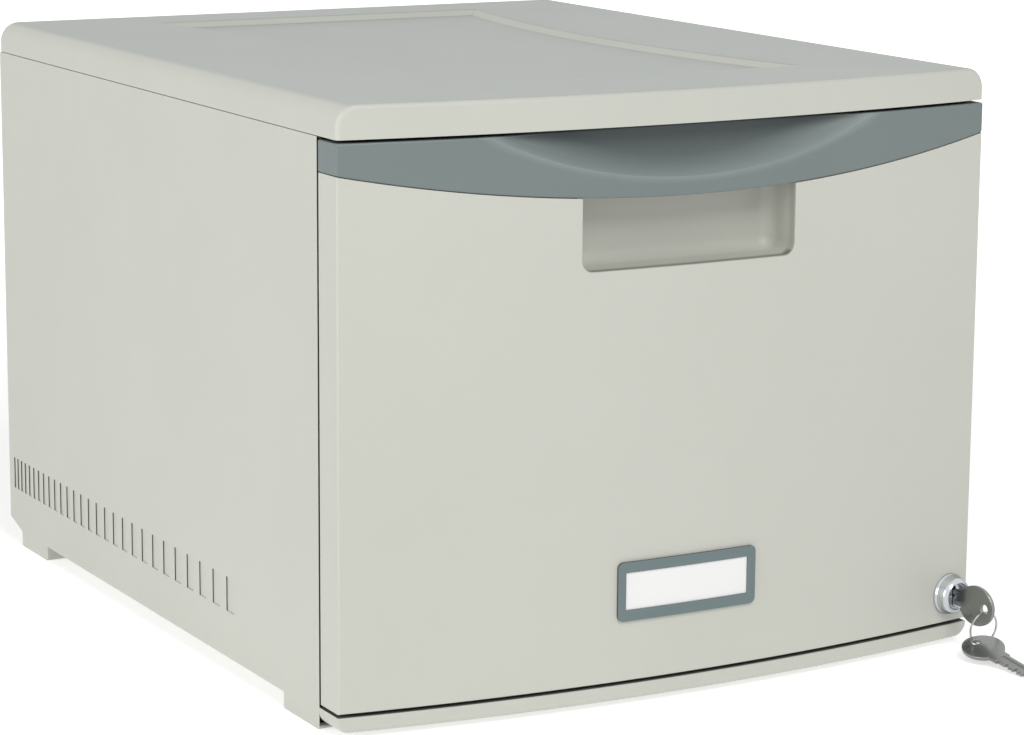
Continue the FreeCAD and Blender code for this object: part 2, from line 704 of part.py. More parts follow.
def make_bottom_panel():
    """The floor plate with the bowed chin in front, screw bosses and the lock's strike."""
    plate = new_body("floor_plate")
    heel = f"({BACK} - back_foot_inset)"
    side = sketch_on(plate, "floor_profile", "YZ_Plane", f"-{INNER}")
    outline(side, [
        ("-front_offset", "hem_height"), (heel, "hem_height"),
        (BACK, "hem_height + heel_rise"), (BACK, HEEL_TOP),
        (heel, FLOOR), ("-front_offset", FLOOR),
    ])
    feature(plate, "Pad", "floor_pad", side, f"2 * {INNER}")
    body = new_body("chin_bar")
    plan = sketch_on(body, "chin_plan", "XY_Plane", "chin_bottom")
    points = [(f"-{HALF}", FACE), (HALF, FACE), (HALF, "-front_offset"),
              (f"-{HALF}", "-front_offset")]
    outline(plan, points, {0: BOW})
    feature(body, "Pad", "chin_pad", plan, f"{FLOOR} - chin_bottom")
    rounded(body, "chin_lower_edge", "chin_radius",
            lambda p, b: near(p.z, "chin_bottom") and near(p.y, CREST))
    hollow = bowed("chin_hollow_block", f"({HALF} - 2 * case_wall)",
                   "-front_offset - case_wall",
                   ("chin_bottom - 1", "chin_bottom + chin_hollow"), "2 * case_wall")
    chin = cut("chin", body, hollow)
    bosses = [
        hexagon(f"floor_boss_{index}", "+Z", (x, y, "hem_height"), "cap_boss_radius",
                 "case_wall + floor_boss_height")
        for index, (x, y) in enumerate(FLOOR_SCREWS)
    ]
    strike = box(
        "strike", ("lock_place - strike_reach", "lock_place + strike_reach * 0.8"),
        ("-front_offset", "strike_thickness - front_offset"),
        (FLOOR, f"{FLOOR} + strike_height"),
    )
    gusset = box(
        "strike_foot", ("lock_place - strike_reach", "lock_place + strike_reach * 0.8"),
        ("-front_offset", "3 * strike_thickness - front_offset"),
        (FLOOR, f"{FLOOR} + strike_thickness / 2"),
    )
    whole = fuse("bottom_panel_whole", plate, chin, *bosses, strike, gusset)
    pilots = [
        hexagon(f"floor_pilot_{index}", "+Z", (x, y, "hem_height"), "screw_radius",
                 "screw_length - case_wall")
        for index, (x, y) in enumerate(FLOOR_SCREWS)
    ]
    return cut("bottom_panel", whole, *pilots)


def make_case_screws():
    """Twelve equal screws: cap, feet and back."""
    screws = [
        screw(f"case_screw_top_{index}", "+Z", (x, y, "seam_height - case_wall"))
        for index, (x, y) in enumerate(TOP_SCREWS)
    ]
    screws += [
        screw(f"case_screw_floor_{index}", "+Z", (x, y, "hem_height - case_wall"))
        for index, (x, y) in enumerate(FLOOR_SCREWS)
    ]
    screws += [
        screw(f"case_screw_back_{index}", "-Y", (x, f"{BACK} - screw_well", z))
        for index, (x, z) in enumerate(BACK_SCREWS)
    ]
    return group("case_screws", *screws)


# ---------------------------------------------------------------- the slides
def pad_side(distance):
    """X of a point at a distance from the left slide pad, towards the drawer."""
    return f"({distance} - {PAD_PLANE})"


def strip(sketch, points):
    """An outline whose X values are distances from the left slide pad."""
    return outline(sketch, [(pad_side(x), y) for x, y in points])


def make_case_slides():
    """A C channel screwed to each side panel, cut away round its front roller."""
    body = new_body("case_slide_channel")
    level, top = "slide_level", "(slide_level + channel_height)"
    points = [
        ("0", f"{level} - slide_metal"), ("flange_width", f"{level} - slide_metal"),
        ("flange_width", level), ("slide_metal", level), ("slide_metal", top),
        ("flange_width", top), ("flange_width", f"{top} + slide_metal"),
        ("0", f"{top} + slide_metal"),
    ]
    section = strip(sketch_on(body, "case_channel_section", "XZ_Plane", SLIDE_BACK), points)
    feature(body, "Pad", "case_channel", section, "slide_length")
    window = sketch_on(body, "roller_window", "XY_Plane", f"{level} - slide_metal - 1")
    rectangle(window, (pad_side("slide_metal"), pad_side("flange_width + 1")),
              (f"{CASE_ROLLER} - roller_relief", f"{CASE_ROLLER} + roller_relief"))
    feature(body, "Pocket", "roller_window_cut", window, "slide_metal + 1.5", True)
    lug_rise = "(channel_height - stop_drop - drawer_roller_rise)"
    chord = f"sqrt(roller_radius^2 - {lug_rise}^2)"
    lug_back = f"({DRAWER_ROLLER} - drawer_travel - {chord} - side_play)"
    lug = box("stop_lug", (pad_side("roller_start"), pad_side("roller_start + roller_width")),
              (f"{lug_back} - stop_length", lug_back), (f"{top} - stop_drop", top))
    holes = [
        hexagon(f"case_slide_hole_{index}", "-X", (pad_side("slide_metal"), y, z),
                 "screw_radius", "slide_metal")
        for index, (y, z) in enumerate(CASE_SLIDE_SCREWS)
    ]
    holes.append(
        hexagon("case_axle_hole", "-X",
                 (pad_side("slide_metal"), CASE_ROLLER, f"{level} + case_roller_rise"),
                 "axle_collar_radius", "slide_metal")
    )
    left = cut("left_case_slide", fuse("case_slide_whole", body, lug), *holes)
    return left, mirrored("right_case_slide", left)


def make_drawer_slides():
    """An angle screwed to each side of the tub; its flange rides on the front roller."""
    body = new_body("drawer_slide_angle")
    level = "(slide_level + drawer_flange_level)"
    web = "(slide_space - slide_metal)"
    points = [
        (web, "slide_level + drawer_web_rise"),
        ("slide_space", "slide_level + drawer_web_rise"),
        ("slide_space", f"{level} + slide_metal"),
        ("drawer_flange_gap", f"{level} + slide_metal"),
        ("drawer_flange_gap", level), (web, level),
    ]
    section = strip(sketch_on(body, "drawer_angle_section", "XZ_Plane", SLIDE_BACK), points)
    feature(body, "Pad", "drawer_angle", section, "slide_length")
    window = sketch_on(body, "rear_roller_window", "XY_Plane", f"{level} - 1")
    rectangle(window, (pad_side("drawer_flange_gap - 1"), pad_side(web)),
              (f"{DRAWER_ROLLER} - roller_relief", f"{SLIDE_BACK} + 1"))
    feature(body, "Pocket", "rear_roller_window_cut", window, "slide_metal + 2", True)
    holes = [
        hexagon(f"drawer_slide_hole_{index}", "+X", (pad_side(web), y, z),
                 "screw_radius", "slide_metal")
        for index, (y, z) in enumerate(DRAWER_SLIDE_SCREWS)
    ]
    holes.append(
        hexagon("drawer_axle_hole", "+X",
                 (pad_side(web), DRAWER_ROLLER, "slide_level + drawer_roller_rise"),
                 "axle_collar_radius", "slide_metal")
    )
    left = cut("left_drawer_slide", body, *holes)
    return left, mirrored("right_drawer_slide", left)


def make_roller(name, place, rise):
    """A nylon roller, turned about its axle."""
    body = new_body(name + "_wheel")
    section = sketch_on(body, name + "_section", "XY_Plane", "0")
    rectangle(section, ("0", "roller_width"), ("axle_radius + axle_play", "roller_radius"))
    revolve(body, name + "_turned", section, axis="H_Axis")
    return bind(
        body, Placement__Base__x=pad_side("roller_start"), Placement__Base__y=place,
        Placement__Base__z=f"slide_level + {rise}",
    )


def make_axles(name, way, web, end, place, rise):
    """An axle riveted into its rail, with a shoulder and a head beside the roller."""
    level = f"slide_level + {rise}"
    near_face = "roller_start" if way == "+X" else "(roller_start + roller_width)"
    far_face = "(roller_start + roller_width)" if way == "+X" else "roller_start"
    sign = "+" if way == "+X" else "-"
    journal = cylinder(name + "_journal", way, (pad_side(web), place, level),
                       "axle_radius", f"abs(({end}) - ({web}))")
    shoulder = hexagon(
        name + "_shoulder", way, (pad_side(web), place, level), "axle_collar_radius",
        f"abs({near_face} - ({web})) - side_play",
    )
    head = hexagon(
        name + "_head", way, (pad_side(f"{far_face} {sign} side_play"), place, level),
        "axle_collar_radius", "axle_head",
    )
    left = fuse(name + "_left", journal, shoulder, head)
    return group(name, left, mirrored(name + "_right", left))


def make_slide_screws(name, way, start, screws, bite):
    """The short screws of one pair of slide members."""
    left = [
        screw(f"{name}_{index}", way, (pad_side(start), y, z), bite)
        for index, (y, z) in enumerate(screws)
    ]
    return group(name, *left, *[mirrored(f"{item.Name}_twin", item) for item in left])


# ----------------------------------------------------------------- the tub
def make_tub():
    """The deep drawer tub with hanging-file rails round its rim."""
    body = new_body("tub_shell")
    plan = sketch_on(body, "tub_plan", "XY_Plane", "tub_bottom")
    rounded_rectangle(plan, (f"-{TUB_HALF}", TUB_HALF), (TUB_FRONT, TUB_BACK), "tub_corner")
    feature(body, "Pad", "tub_block", plan, "tub_rim - tub_bottom")
    inside = sketch_on(body, "tub_inside", "XY_Plane", "tub_rim")
    rounded_rectangle(
        inside, (f"tub_wall - {TUB_HALF}", f"{TUB_HALF} - tub_wall"),
        (f"{TUB_FRONT} + tub_wall", f"{TUB_BACK} - tub_wall"), "(tub_corner - tub_wall)",
    )
    feature(body, "Pocket", "tub_hollow", inside, "tub_rim - tub_bottom - tub_wall")
    rails = []
    for sign in ("-", ""):
        rail = f"{sign}(hanger_span / 2)"
        ledge_out = f"{sign}({TUB_HALF} - tub_wall / 2)"
        grow = f"{sign}(tub_wall / 2)"
        span = (f"{TUB_FRONT} + hanger_end_gap", f"{TUB_BACK} - hanger_end_gap")
        rails.append(box("side_ledge" + sign.replace("-", "_left"),
                         (f"{rail} - {grow or '0'}", ledge_out), span,
                         ("tub_rim - tub_wall", "tub_rim")))
        rails.append(box("side_rail" + sign.replace("-", "_left"),
                         (f"{rail} - tub_wall / 2", f"{rail} + tub_wall / 2"), span,
                         ("tub_rim - tub_wall", "tub_rim + hanger_height")))
    across = (f"hanger_end_gap - {TUB_HALF}", f"{TUB_HALF} - hanger_end_gap")
    up = ("tub_rim - tub_wall", "tub_rim + hanger_height")
    rails.append(box("front_rail", across, (TUB_FRONT, f"{TUB_FRONT} + tub_wall"), up))
    rails.append(box("rear_rail", across, (f"{TUB_BACK} - tub_wall", TUB_BACK), up))
    whole = fuse("tub_railed", body, *rails)
    holes = [
        hexagon(f"tub_front_hole_{index}", "-Y", (x, f"{TUB_FRONT} + tub_wall", z),
                 "screw_radius", "tub_wall")
        for index, (x, z) in enumerate(FRONT_SCREWS)
    ]
    for sign in ("-", ""):
        way = "-X" if sign else "+X"
        for index, (y, z) in enumerate(DRAWER_SLIDE_SCREWS):
            holes.append(
                hexagon(f"tub_slide_hole{way[0].replace('-', '_l').replace('+', '_r')}_{index}",
                         way, (f"{sign}({TUB_HALF} - tub_wall)", y, z),
                         "screw_radius", "tub_wall")
            )
    return cut("drawer_tub", whole, *holes)


# --------------------------------------------------------- the drawer front
def band_drum(name, grow="0"):
    """The drum, across the front, whose lower side is the band's lower edge."""
    return cylinder(name, "-Y", ("0", "0", BAND_MIDDLE), f"{BAND} + ({grow})",
                    f"-({CREST}) + 10")


def pocket_room(name, grow, top):
    """The space of the hand pocket with its lower corners; grow adds a wall round it."""
    body = new_body(name)
    half = f"(pocket_width / 2 + {grow})"
    mouth = sketch_on(body, name + "_mouth", "XZ_Plane", f"{POCKET_REAR} + {grow}")
    rectangle(mouth, (f"-{half}", half), (f"pocket_bottom - {grow}", top))
    feature(body, "Pad", name + "_room", mouth, f"pocket_depth + {grow} + 3")
    rounded(
        body, name + "_corners", f"pocket_corner + {grow}",
        lambda p, b: b.YLength > 10 and near(p.z, f"pocket_bottom - {grow}"),
    )
    return body


def boss_posts(name):
    """Posts from the bowed wall back to the tub."""
    posts = []
    for index, (x, z) in enumerate(FRONT_SCREWS):
        reach = f"({TUB_FRONT} - {face_at(x)} - front_wall / 2)"
        posts.append(hexagon(f"{name}_{index}", "-Y", (x, TUB_FRONT, z), "boss_radius",
                              reach))
    return posts


def make_drawer_front():
    """The bowed drawer front: hollow behind, with the hand pocket's well and four posts."""
    outer_body = new_body("front_outer")
    plan = sketch_on(outer_body, "front_plan", "XY_Plane", "front_bottom")
    points = [(f"-{HALF}", FACE), (HALF, FACE), (HALF, FRONT_REAR), (f"-{HALF}", FRONT_REAR)]
    outline(plan, points, {0: BOW})
    feature(outer_body, "Pad", "front_pad", plan, "front_top - front_bottom")
    rounded(outer_body, "front_edges", "front_edge_radius",
            lambda p, b: b.ZLength > 100 and near(p.y, FACE))
    below = cut("front_below_band", outer_body, band_drum("front_band_drum"))
    hollow_block = bowed("front_hollow", f"({HALF} - front_wall)", f"{FRONT_REAR} + 1",
                         ("front_bottom + front_wall", "front_top"), "front_wall")
    hollow = cut("front_hollow_below_band", hollow_block,
                 band_drum("front_hollow_drum", "front_wall"),
                 pocket_room("pocket_well", "pocket_wall", "front_top"))
    shell = cut("front_shell", below, hollow)
    whole = fuse("front_posted", shell, *boss_posts("front_post"))
    pocket = pocket_room("hand_pocket", "0", "front_top")
    rounded(pocket, "pocket_blends", "pocket_blend",
            lambda p, b: near(b.YMin, POCKET_REAR) and near(b.YMax, POCKET_REAR)
            and not near(p.z, "front_top", 0.2))
    barrel = cylinder("lock_hole", "+Y", ("0", "-5", "0"), "barrel_radius + side_play", "15")
    lock_hole = place_in_lock(group("lock_hole_placed", barrel))
    card = bowed("card_recess_slab", "(window_width / 2 + card_lap + side_play)",
                 f"{CREST} + 8", card_heights("side_play"), "0")
    card_floor = bowed("card_recess_floor", "(window_width / 2 + 20)", f"{CREST} + 12",
                       card_heights("10"), "card_recess")
    pilots = [
        hexagon(f"front_pilot_{index}", "-Y", (x, TUB_FRONT, z), "screw_radius",
                 "screw_length - tub_wall")
        for index, (x, z) in enumerate(FRONT_SCREWS)
    ]
    return cut("drawer_front", whole, pocket,
               lock_hole, cut("card_recess_room", card, card_floor), *pilots)


def make_handle_band():
    """The handle band along the drawer's upper edge, with its scooped finger grip."""
    outer = bowed("band_outer", HALF, FRONT_REAR, ("band_middle - 5", "front_top"))
    above = common("band_above", outer, band_drum("band_drum_outer"))
    room = bowed("band_room", f"({HALF} - front_wall)", f"{FRONT_REAR} + 1",
                 ("band_middle - 5", "front_top - front_wall"), "front_wall")
    room = common("band_room_above", room, band_drum("band_drum_inner", "-front_wall"))
    scoop = scoop_hollow("scoop")
    lining = box("scoop_lining", (f"-{SCOOP_HALF} - front_wall", f"{SCOOP_HALF} + front_wall"),
                 (f"{CREST} - 5", f"{CREST} + scoop_depth + front_wall"),
                 ("scoop_edge - front_wall", "front_top"))
    roof = box("pocket_roof", (f"-(pocket_width / 2 + pocket_wall)",
                               "pocket_width / 2 + pocket_wall"),
               (f"{CREST} - 5", f"{POCKET_REAR} + pocket_wall"),
               ("band_middle - 10", "pocket_top + pocket_wall"))
    room = cut("band_hollow", room, lining, roof)
    under_block = bowed("grip_block", "(pocket_width / 2)", POCKET_REAR,
                        ("band_middle - 10", "pocket_top"), "grip_wall")
    return cut("handle_band", above, scoop, room, under_block)


def scoop_hollow(name):
    """A ring-shaped hollow about an axis across the front; its tube makes the scoop."""
    ring = doc.addObject("Part::Torus", name)
    ring.Placement = Placement(Vector(), Rotation(Vector(1, 0, 0), 90))
    bind(ring, Radius1="scoop_sweep", Radius2="scoop_tube")
    return bind(
        ring, Placement__Base__y=f"{CREST} + scoop_depth - scoop_tube",
        Placement__Base__z=f"scoop_edge + {SCOOP_DROP} + scoop_sweep",
    )


# ---------------------------------------------------------- the label holder
def card_heights(grow):
    """Lower and upper edge of the card's space, as expressions."""
    half = f"(window_height / 2 + card_lap + {grow})"
    return (f"label_middle - {half}", f"label_middle + {half}")


def make_label_holder():
    """A bowed frame round a window, and the card behind it."""
    plate = new_body("label_plate")
    rim = sketch_on(plate, "label_rim", "XZ_Plane", f"{CREST} + 6")
    half, rise = "(label_width / 2)", "(label_height / 2)"
    rectangle(rim, (f"-{half}", half), (f"label_middle - {rise}", f"label_middle + {rise}"))
    feature(plate, "Pad", "label_pad", rim, "12")
    rounded(plate, "label_corners", "label_corner", lambda p, b: b.YLength > 5)
    window = sketch_on(plate, "label_window", "XZ_Plane", f"{CREST} + 6")
    rectangle(
        window, ("-(window_width / 2)", "window_width / 2"),
        ("label_middle - window_height / 2", "label_middle + window_height / 2"),
    )
    feature(plate, "Pocket", "label_window_cut", window, "12", True)
    heights = ("label_middle - label_height", "label_middle + label_height")
    front = bowed("label_front", "(label_width)", f"{CREST} + 10", heights, "-label_proud")
    behind = bowed("label_behind", "(label_width + 5)", f"{CREST} + 12", heights, "0")
    frame = cut("label_frame", common("label_slab", plate, front), behind)
    card_block = bowed("card_block", "(window_width / 2 + card_lap)", f"{CREST} + 10",
                       card_heights("0"), "card_recess - card_thickness")
    card_behind = bowed("card_behind", "(window_width)", f"{CREST} + 12",
                        card_heights("5"), "card_recess")
    return frame, cut("label_card", card_block, card_behind)


# ------------------------------------------------------------------ the lock
def place_in_lock(item):
    """Put a piece made about the Y axis in the lock's place, square to the bowed face."""
    return bind(
        item, Placement__Rotation__Angle=f"asin(lock_place / {BOW})",
        Placement__Base__x="lock_place", Placement__Base__y=face_at("lock_place"),
        Placement__Base__z="lock_height",
    )


def lock_piece(name, *tools):
    """A lock piece cut from a body by the tools, in the lock's place."""
    item = cut(name, *tools) if len(tools) > 1 else tools[0]
    item.Label = name
    return place_in_lock(item)


def turned(body, points):
    """Turn an outline of (radius, depth behind the face) points about the lock's axis."""
    section = sketch_on(body, body.Name + "_section", "XY_Plane", "0")
    outline(section, points)
    return revolve(body, body.Name + "_turned", section)


STEM_START = "(barrel_length + clip_play * 6)"
CAM_START = f"({STEM_START} + stem_length)"
CAM_END = f"({CAM_START} + cam_thickness)"
CLIP_START = "(front_wall + clip_play * 2)"
CLIP_INSIDE = "(barrel_radius + clip_play)"


def make_lock():
    """Bezel and barrel, plug with keyway, cam, cam screw and retaining clip."""
    housing = new_body("lock_housing")
    bore = "(plug_radius + plug_play)"
    turned(housing, [
        (bore, "barrel_length"), (bore, "-plug_face"), ("bezel_mouth", "-plug_face"),
        ("bezel_mouth", "-bezel_height"), ("bezel_rim", "-bezel_height"),
        ("bezel_radius", "-bezel_step"), ("bezel_radius", "0"), ("barrel_radius", "0"),
        ("barrel_radius", "barrel_length"),
    ])
    plug = new_body("plug_body")
    turned(plug, [
        ("0", "-plug_face"), ("plug_radius", "-plug_face"), ("plug_radius", CAM_START),
        ("0", CAM_START),
    ])
    square = sketch_on(plug, "cam_square_sketch", "XZ_Plane", CAM_START)
    rectangle(square, ("-(cam_square / 2)", "cam_square / 2"),
              ("-(cam_square / 2)", "cam_square / 2"))
    feature(plug, "Pad", "cam_square_pad", square, "cam_thickness", True)
    keyway = box(
        "keyway", ("-(key_thickness / 2 + key_slot_play)", "key_thickness / 2 + key_slot_play"),
        ("-(plug_face + 1)", "key_blade + key_seat - plug_face + side_play * 5"),
        ("-(key_slot_height / 2)", "key_slot_height / 2"),
    )
    pilot = hexagon("cam_pilot", "-Y", ("0", CAM_END, "0"), "screw_radius",
                     "screw_length - cam_thickness")
    cam = new_body("cam_plate")
    plan = sketch_on(cam, "cam_outline", "XZ_Plane", CAM_START)
    half = "(cam_width / 2)"
    rectangle(plan, ("-cam_length", "cam_square / 2 + barrel_radius / 2"), (f"-{half}", half))
    feature(cam, "Pad", "cam_pad", plan, "cam_thickness", True)
    rounded(cam, "cam_corners", "cam_width / 3", lambda p, b: b.YLength > 1.5)
    seat = sketch_on(cam, "cam_seat", "XZ_Plane", CAM_START)
    rectangle(seat, ("-(cam_square / 2)", "cam_square / 2"),
              ("-(cam_square / 2)", "cam_square / 2"))
    feature(cam, "Pocket", "cam_seat_cut", seat, "cam_thickness", False)
    clip = box("clip_plate", ("-clip_tail", "clip_side"),
               (CLIP_START, f"{CLIP_START} + clip_thickness"), ("-clip_reach", "clip_reach"))
    eye = cylinder("clip_eye", "+Y", ("0", "0", "0"), CLIP_INSIDE, "barrel_length")
    slot = box("clip_slot", ("-clip_tail - 1", "0"), ("0", "barrel_length"),
               (f"-{CLIP_INSIDE}", CLIP_INSIDE))
    return {
        "lock_housing": lock_piece("lock_housing", housing),
        "lock_plug": lock_piece("lock_plug", plug, keyway, pilot),
        "lock_cam": lock_piece("lock_cam", cam),
        "cam_screw": lock_piece("cam_screw", screw("cam_screw_made", "-Y", ("0", CAM_END, "0"),
                                                   "screw_length - cam_thickness * 1.5")),
        "lock_clip": lock_piece("lock_clip", clip, eye, slot),
    }


# ------------------------------------------------------------------ the keys
KEY_BOW = "(key_neck + key_bow_length / 2)"
KEY_HOLE = f"({KEY_BOW} + key_hole_offset)"
KEY_CUTS = (0.14, 0.30, 0.08, 0.22)


def make_key(name):
    """A flat key: oval bow towards -Y, cut blade towards +Y, its shoulder at the origin."""
    blade = new_body(name + "_blade")
    profile = sketch_on(blade, name + "_profile", "YZ_Plane", "-(key_thickness / 2)")
    half = "(key_blade_height / 2)"
    points = [("0", half), (f"key_blade - {half} / 2", half),
              ("key_blade", f"{half} / 4"), ("key_blade", f"-{half} / 3")]
    for index, share in enumerate(KEY_CUTS):
        middle = f"(key_blade - key_cut_pitch * {index + 1})"
        depth = f"(key_blade_height * {share})"
        for side, low in (("+", False), ("+", True), ("-", True), ("-", False)):
            reach = "key_cut_pitch / 8" if low else f"(key_cut_pitch / 8 + {depth} / 2)"
            points.append((f"{middle} {side} {reach}", f"-{half} + {depth if low else '0'}"))
    points.append(("0", f"-{half}"))
    outline(profile, points)
    feature(blade, "Pad", name + "_blade_pad", profile, "key_thickness")
    neck = box(name + "_neck", ("-(key_thickness / 2)", "key_thickness / 2"),
               ("-(key_neck + 2)", "0"), (f"-{half} - key_thickness / 2",
                                          f"{half} + key_thickness / 2"))
    oval = doc.addObject("Part::Ellipse", name + "_oval")
    oval.Placement = Placement(Vector(), Rotation(Vector(0, 0, 1), 90))
    bind(oval, MajorRadius="key_bow_length / 2", MinorRadius="key_bow_width / 2")
    head = doc.addObject("Part::Extrusion", name + "_bow")
    head.Base = oval
    head.DirMode = "Custom"
    head.Dir = Vector(0, 0, 1)
    head.Solid = True
    bind(head, LengthFwd="key_thickness")
    head.Placement = Placement(Vector(), Rotation(Vector(0, 1, 0), 90))
    bind(head, Placement__Base__x="-(key_thickness / 2)", Placement__Base__y=f"-{KEY_BOW}")
    hole = cylinder(name + "_hole", "+X", ("-key_thickness", f"-{KEY_HOLE}", "0"),
                    "key_hole_radius", "2 * key_thickness")
    grooves = [
        box(f"{name}_groove_{index}",
            (f"{side}(key_thickness / 2 - key_groove_depth)", f"{side}key_thickness"),
            ("-(key_neck / 2)", "key_blade + 1"), ("0", "key_groove_height"))
        for index, side in enumerate(("-", "+"))
    ]
    return cut(name, fuse(name + "_blank", blade, neck, head), hole, *grooves)


def hang_ring_and_spare(key, ring, spare):
    """Seat the key in its keyway, the ring in the key's hole and the spare on the ring."""
    turn = math.degrees(math.asin(number(f"lock_place / {BOW}")))
    lock = Placement(
        Vector(number("lock_place"), number(face_at("lock_place")), number("lock_height")),
        Rotation(Vector(0, 0, 1), turn),
    )
    seat = Placement(
        Vector(0, -number("plug_face + key_seat"), -number("key_sag")),
        Rotation(Vector(1, 0, 0), number("key_droop")),
    )
    key.Placement = lock * seat
    slack = number("key_hole_radius - ring_wire - ring_slack")
    wire = key.Placement.multVec(Vector(0, -number(KEY_HOLE), -slack))
    facing = Rotation(Vector(0, 0, 1), turn - number("ring_turn"))
    hanging = facing * Rotation(Vector(1, 0, 0), 90 + number("ring_lean"))
    radius = number("ring_radius")
    ring.Placement = Placement(wire - hanging.multVec(Vector(0, radius, 0)), hanging)
    round_to = math.radians(number("ring_swing_place"))
    held = ring.Placement.multVec(
        Vector(-math.sin(round_to), -math.cos(round_to), 0) * radius
    )
    yaw = math.radians(turn + number("spare_yaw"))
    dip, roll = (math.radians(number(angle)) for angle in ("spare_dip", "spare_roll"))
    blade = Vector(math.sin(yaw) * math.cos(dip), -math.cos(yaw) * math.cos(dip),
                   -math.sin(dip))
    level = Vector(math.cos(yaw), math.sin(yaw), 0)
    across = level * math.cos(roll) + blade.cross(level) * math.sin(roll)
    lie = Rotation(blade.cross(across), blade, across, "YZX")
    grip = Vector(0, -number(KEY_HOLE), 0)
    spare.Placement = Placement(held - lie.multVec(grip), lie)
    tangent = hanging.multVec(Vector(math.cos(round_to), -math.sin(round_to), 0))
    for label, point in (("ring in key", wire), ("spare on ring", held)):
        print(label, [round(value, 3) for value in point])
    print("ring axis", [round(v, 5) for v in facing.multVec(Vector(1, 0, 0))],
          "spare axis", [round(v, 5) for v in tangent])


def make_ring():
    """The key ring: one turn of square wire."""
    body = new_body("key_ring")
    section = sketch_on(body, "ring_section", "XZ_Plane", "0")
    rectangle(section, ("ring_radius - ring_wire", "ring_radius + ring_wire"),
              ("-ring_wire", "ring_wire"))
    revolve(body, "ring_turned", section)
    return body


# ---------------------------------------------------------------- fixings
LEDGE_LINE = f"({INNER} - ledge_width / 2)"
SIDES = ("-", "")
TOP_SCREWS = [
    (f"{side}{LEDGE_LINE}", y)
    for side in SIDES
    for y in ("(cap_screw_inset - front_offset)", f"({BACK} - cap_screw_inset)")
]
FLOOR_SCREWS = [
    (f"{side}({HALF} - foot_width / 2)", y)
    for side in SIDES
    for y in ("(foot_length / 2 - front_offset)", f"({BACK} - back_foot_inset - foot_length / 2)")
]
BACK_SCREWS = [
    (f"{side}{LEDGE_LINE}", z)
    for side in SIDES
    for z in (f"({FLOOR} + back_screw_inset)", "(seam_height - back_screw_inset)")
]
CASE_SLIDE_SCREWS = [
    (y, "(slide_level + case_screw_rise)")
    for y in (f"({SLIDE_FRONT} + slide_length / 10)", f"({SLIDE_FRONT} + slide_length / 2)",
              f"({SLIDE_BACK} - slide_length / 12)")
]
DRAWER_SLIDE_SCREWS = [
    (y, "(slide_level + drawer_screw_rise)")
    for y in (f"({SLIDE_FRONT} + slide_length / 13)",
              f"({SLIDE_FRONT} + slide_length / 2.2)", f"({SLIDE_BACK} - slide_length / 8)")
]
FRONT_SCREWS = [
    (f"{side}(boss_spread / 2)", z) for side in SIDES for z in ("boss_low", "boss_high")
]


def make_front_screws():
    """Four screws from inside the tub into the drawer front's posts."""
    return group("front_screws", *[
        screw(f"front_screw_{index}", "-Y", (x, f"{TUB_FRONT} + tub_wall", z))
        for index, (x, z) in enumerate(FRONT_SCREWS)
    ])


def build():
    """Make every piece; the keys of the result name the pieces."""
    pieces = {"top_panel": make_top_panel()}
    pieces["left_side_panel"], pieces["right_side_panel"] = make_side_panels()
    pieces["back_panel"] = make_back_panel()
    pieces["bottom_panel"] = make_bottom_panel()
    pieces["case_screws"] = make_case_screws()
    pieces["left_case_slide"], pieces["right_case_slide"] = make_case_slides()
    pieces["case_slide_screws"] = make_slide_screws(
        "case_slide_screws", "-X", "slide_metal", CASE_SLIDE_SCREWS,
        "slide_screw_bite + slide_metal")
    pieces["front_roller_axles"] = make_axles(
        "front_roller_axles", "+X", "0", "roller_start + roller_width + side_play",
        CASE_ROLLER, "case_roller_rise")
    pieces["left_drawer_slide"], pieces["right_drawer_slide"] = make_drawer_slides()
    pieces["drawer_slide_screws"] = make_slide_screws(
        "drawer_slide_screws", "+X", "slide_space - slide_metal", DRAWER_SLIDE_SCREWS,
        "tub_screw_bite + slide_metal")
    pieces["rear_roller_axles"] = make_axles(
        "rear_roller_axles", "-X", "slide_space", "roller_start - side_play",
        DRAWER_ROLLER, "drawer_roller_rise")
    front = make_roller("left_front_roller", CASE_ROLLER, "case_roller_rise")
    rear = make_roller("left_rear_roller", DRAWER_ROLLER, "drawer_roller_rise")
    pieces["left_front_roller"] = front
    pieces["right_front_roller"] = mirrored("right_front_roller", front)
    pieces["left_rear_roller"] = rear
    pieces["right_rear_roller"] = mirrored("right_rear_roller", rear)
    pieces["drawer_tub"] = make_tub()
    pieces["drawer_front"] = make_drawer_front()
    pieces["front_screws"] = make_front_screws()
    pieces["handle_band"] = make_handle_band()
    pieces["label_frame"], pieces["label_card"] = make_label_holder()
    pieces.update(make_lock())
    pieces["key"], pieces["spare_key"] = make_key("key"), make_key("spare_key")
    pieces["key_ring"] = make_ring()
    hang_ring_and_spare(pieces["key"], pieces["key_ring"], pieces["spare_key"])
    return pieces


SOLIDS = {"case_screws": 12, "case_slide_screws": 6, "drawer_slide_screws": 6,
          "front_roller_axles": 2, "rear_roller_axles": 2, "front_screws": 4}


def check_and_write(pieces):
    """Stop on any failed object or bad shape, then write one STEP file a piece."""
    doc.recompute()
    for item in doc.Objects:
        if {"Invalid", "Error"} & set(item.State):
            raise RuntimeError(f"{item.Name} failed: {item.State}")
    os.makedirs("parts", exist_ok=True)
    for name, item in pieces.items():
        item.Label = name
        shape = item.Shape
        if shape.isNull() or not shape.isValid():
            raise RuntimeError(f"{name} has no valid shape")
        wanted = SOLIDS.get(name, 1)
        if len(shape.Solids) != wanted:
            raise RuntimeError(f"{name} has {len(shape.Solids)} solids, not {wanted}")
        shape.exportStep(f"parts/{name}.step")
        print(f"{name:22s} {shape.Volume / 1000:10.2f} cm3")


check_and_write(build())
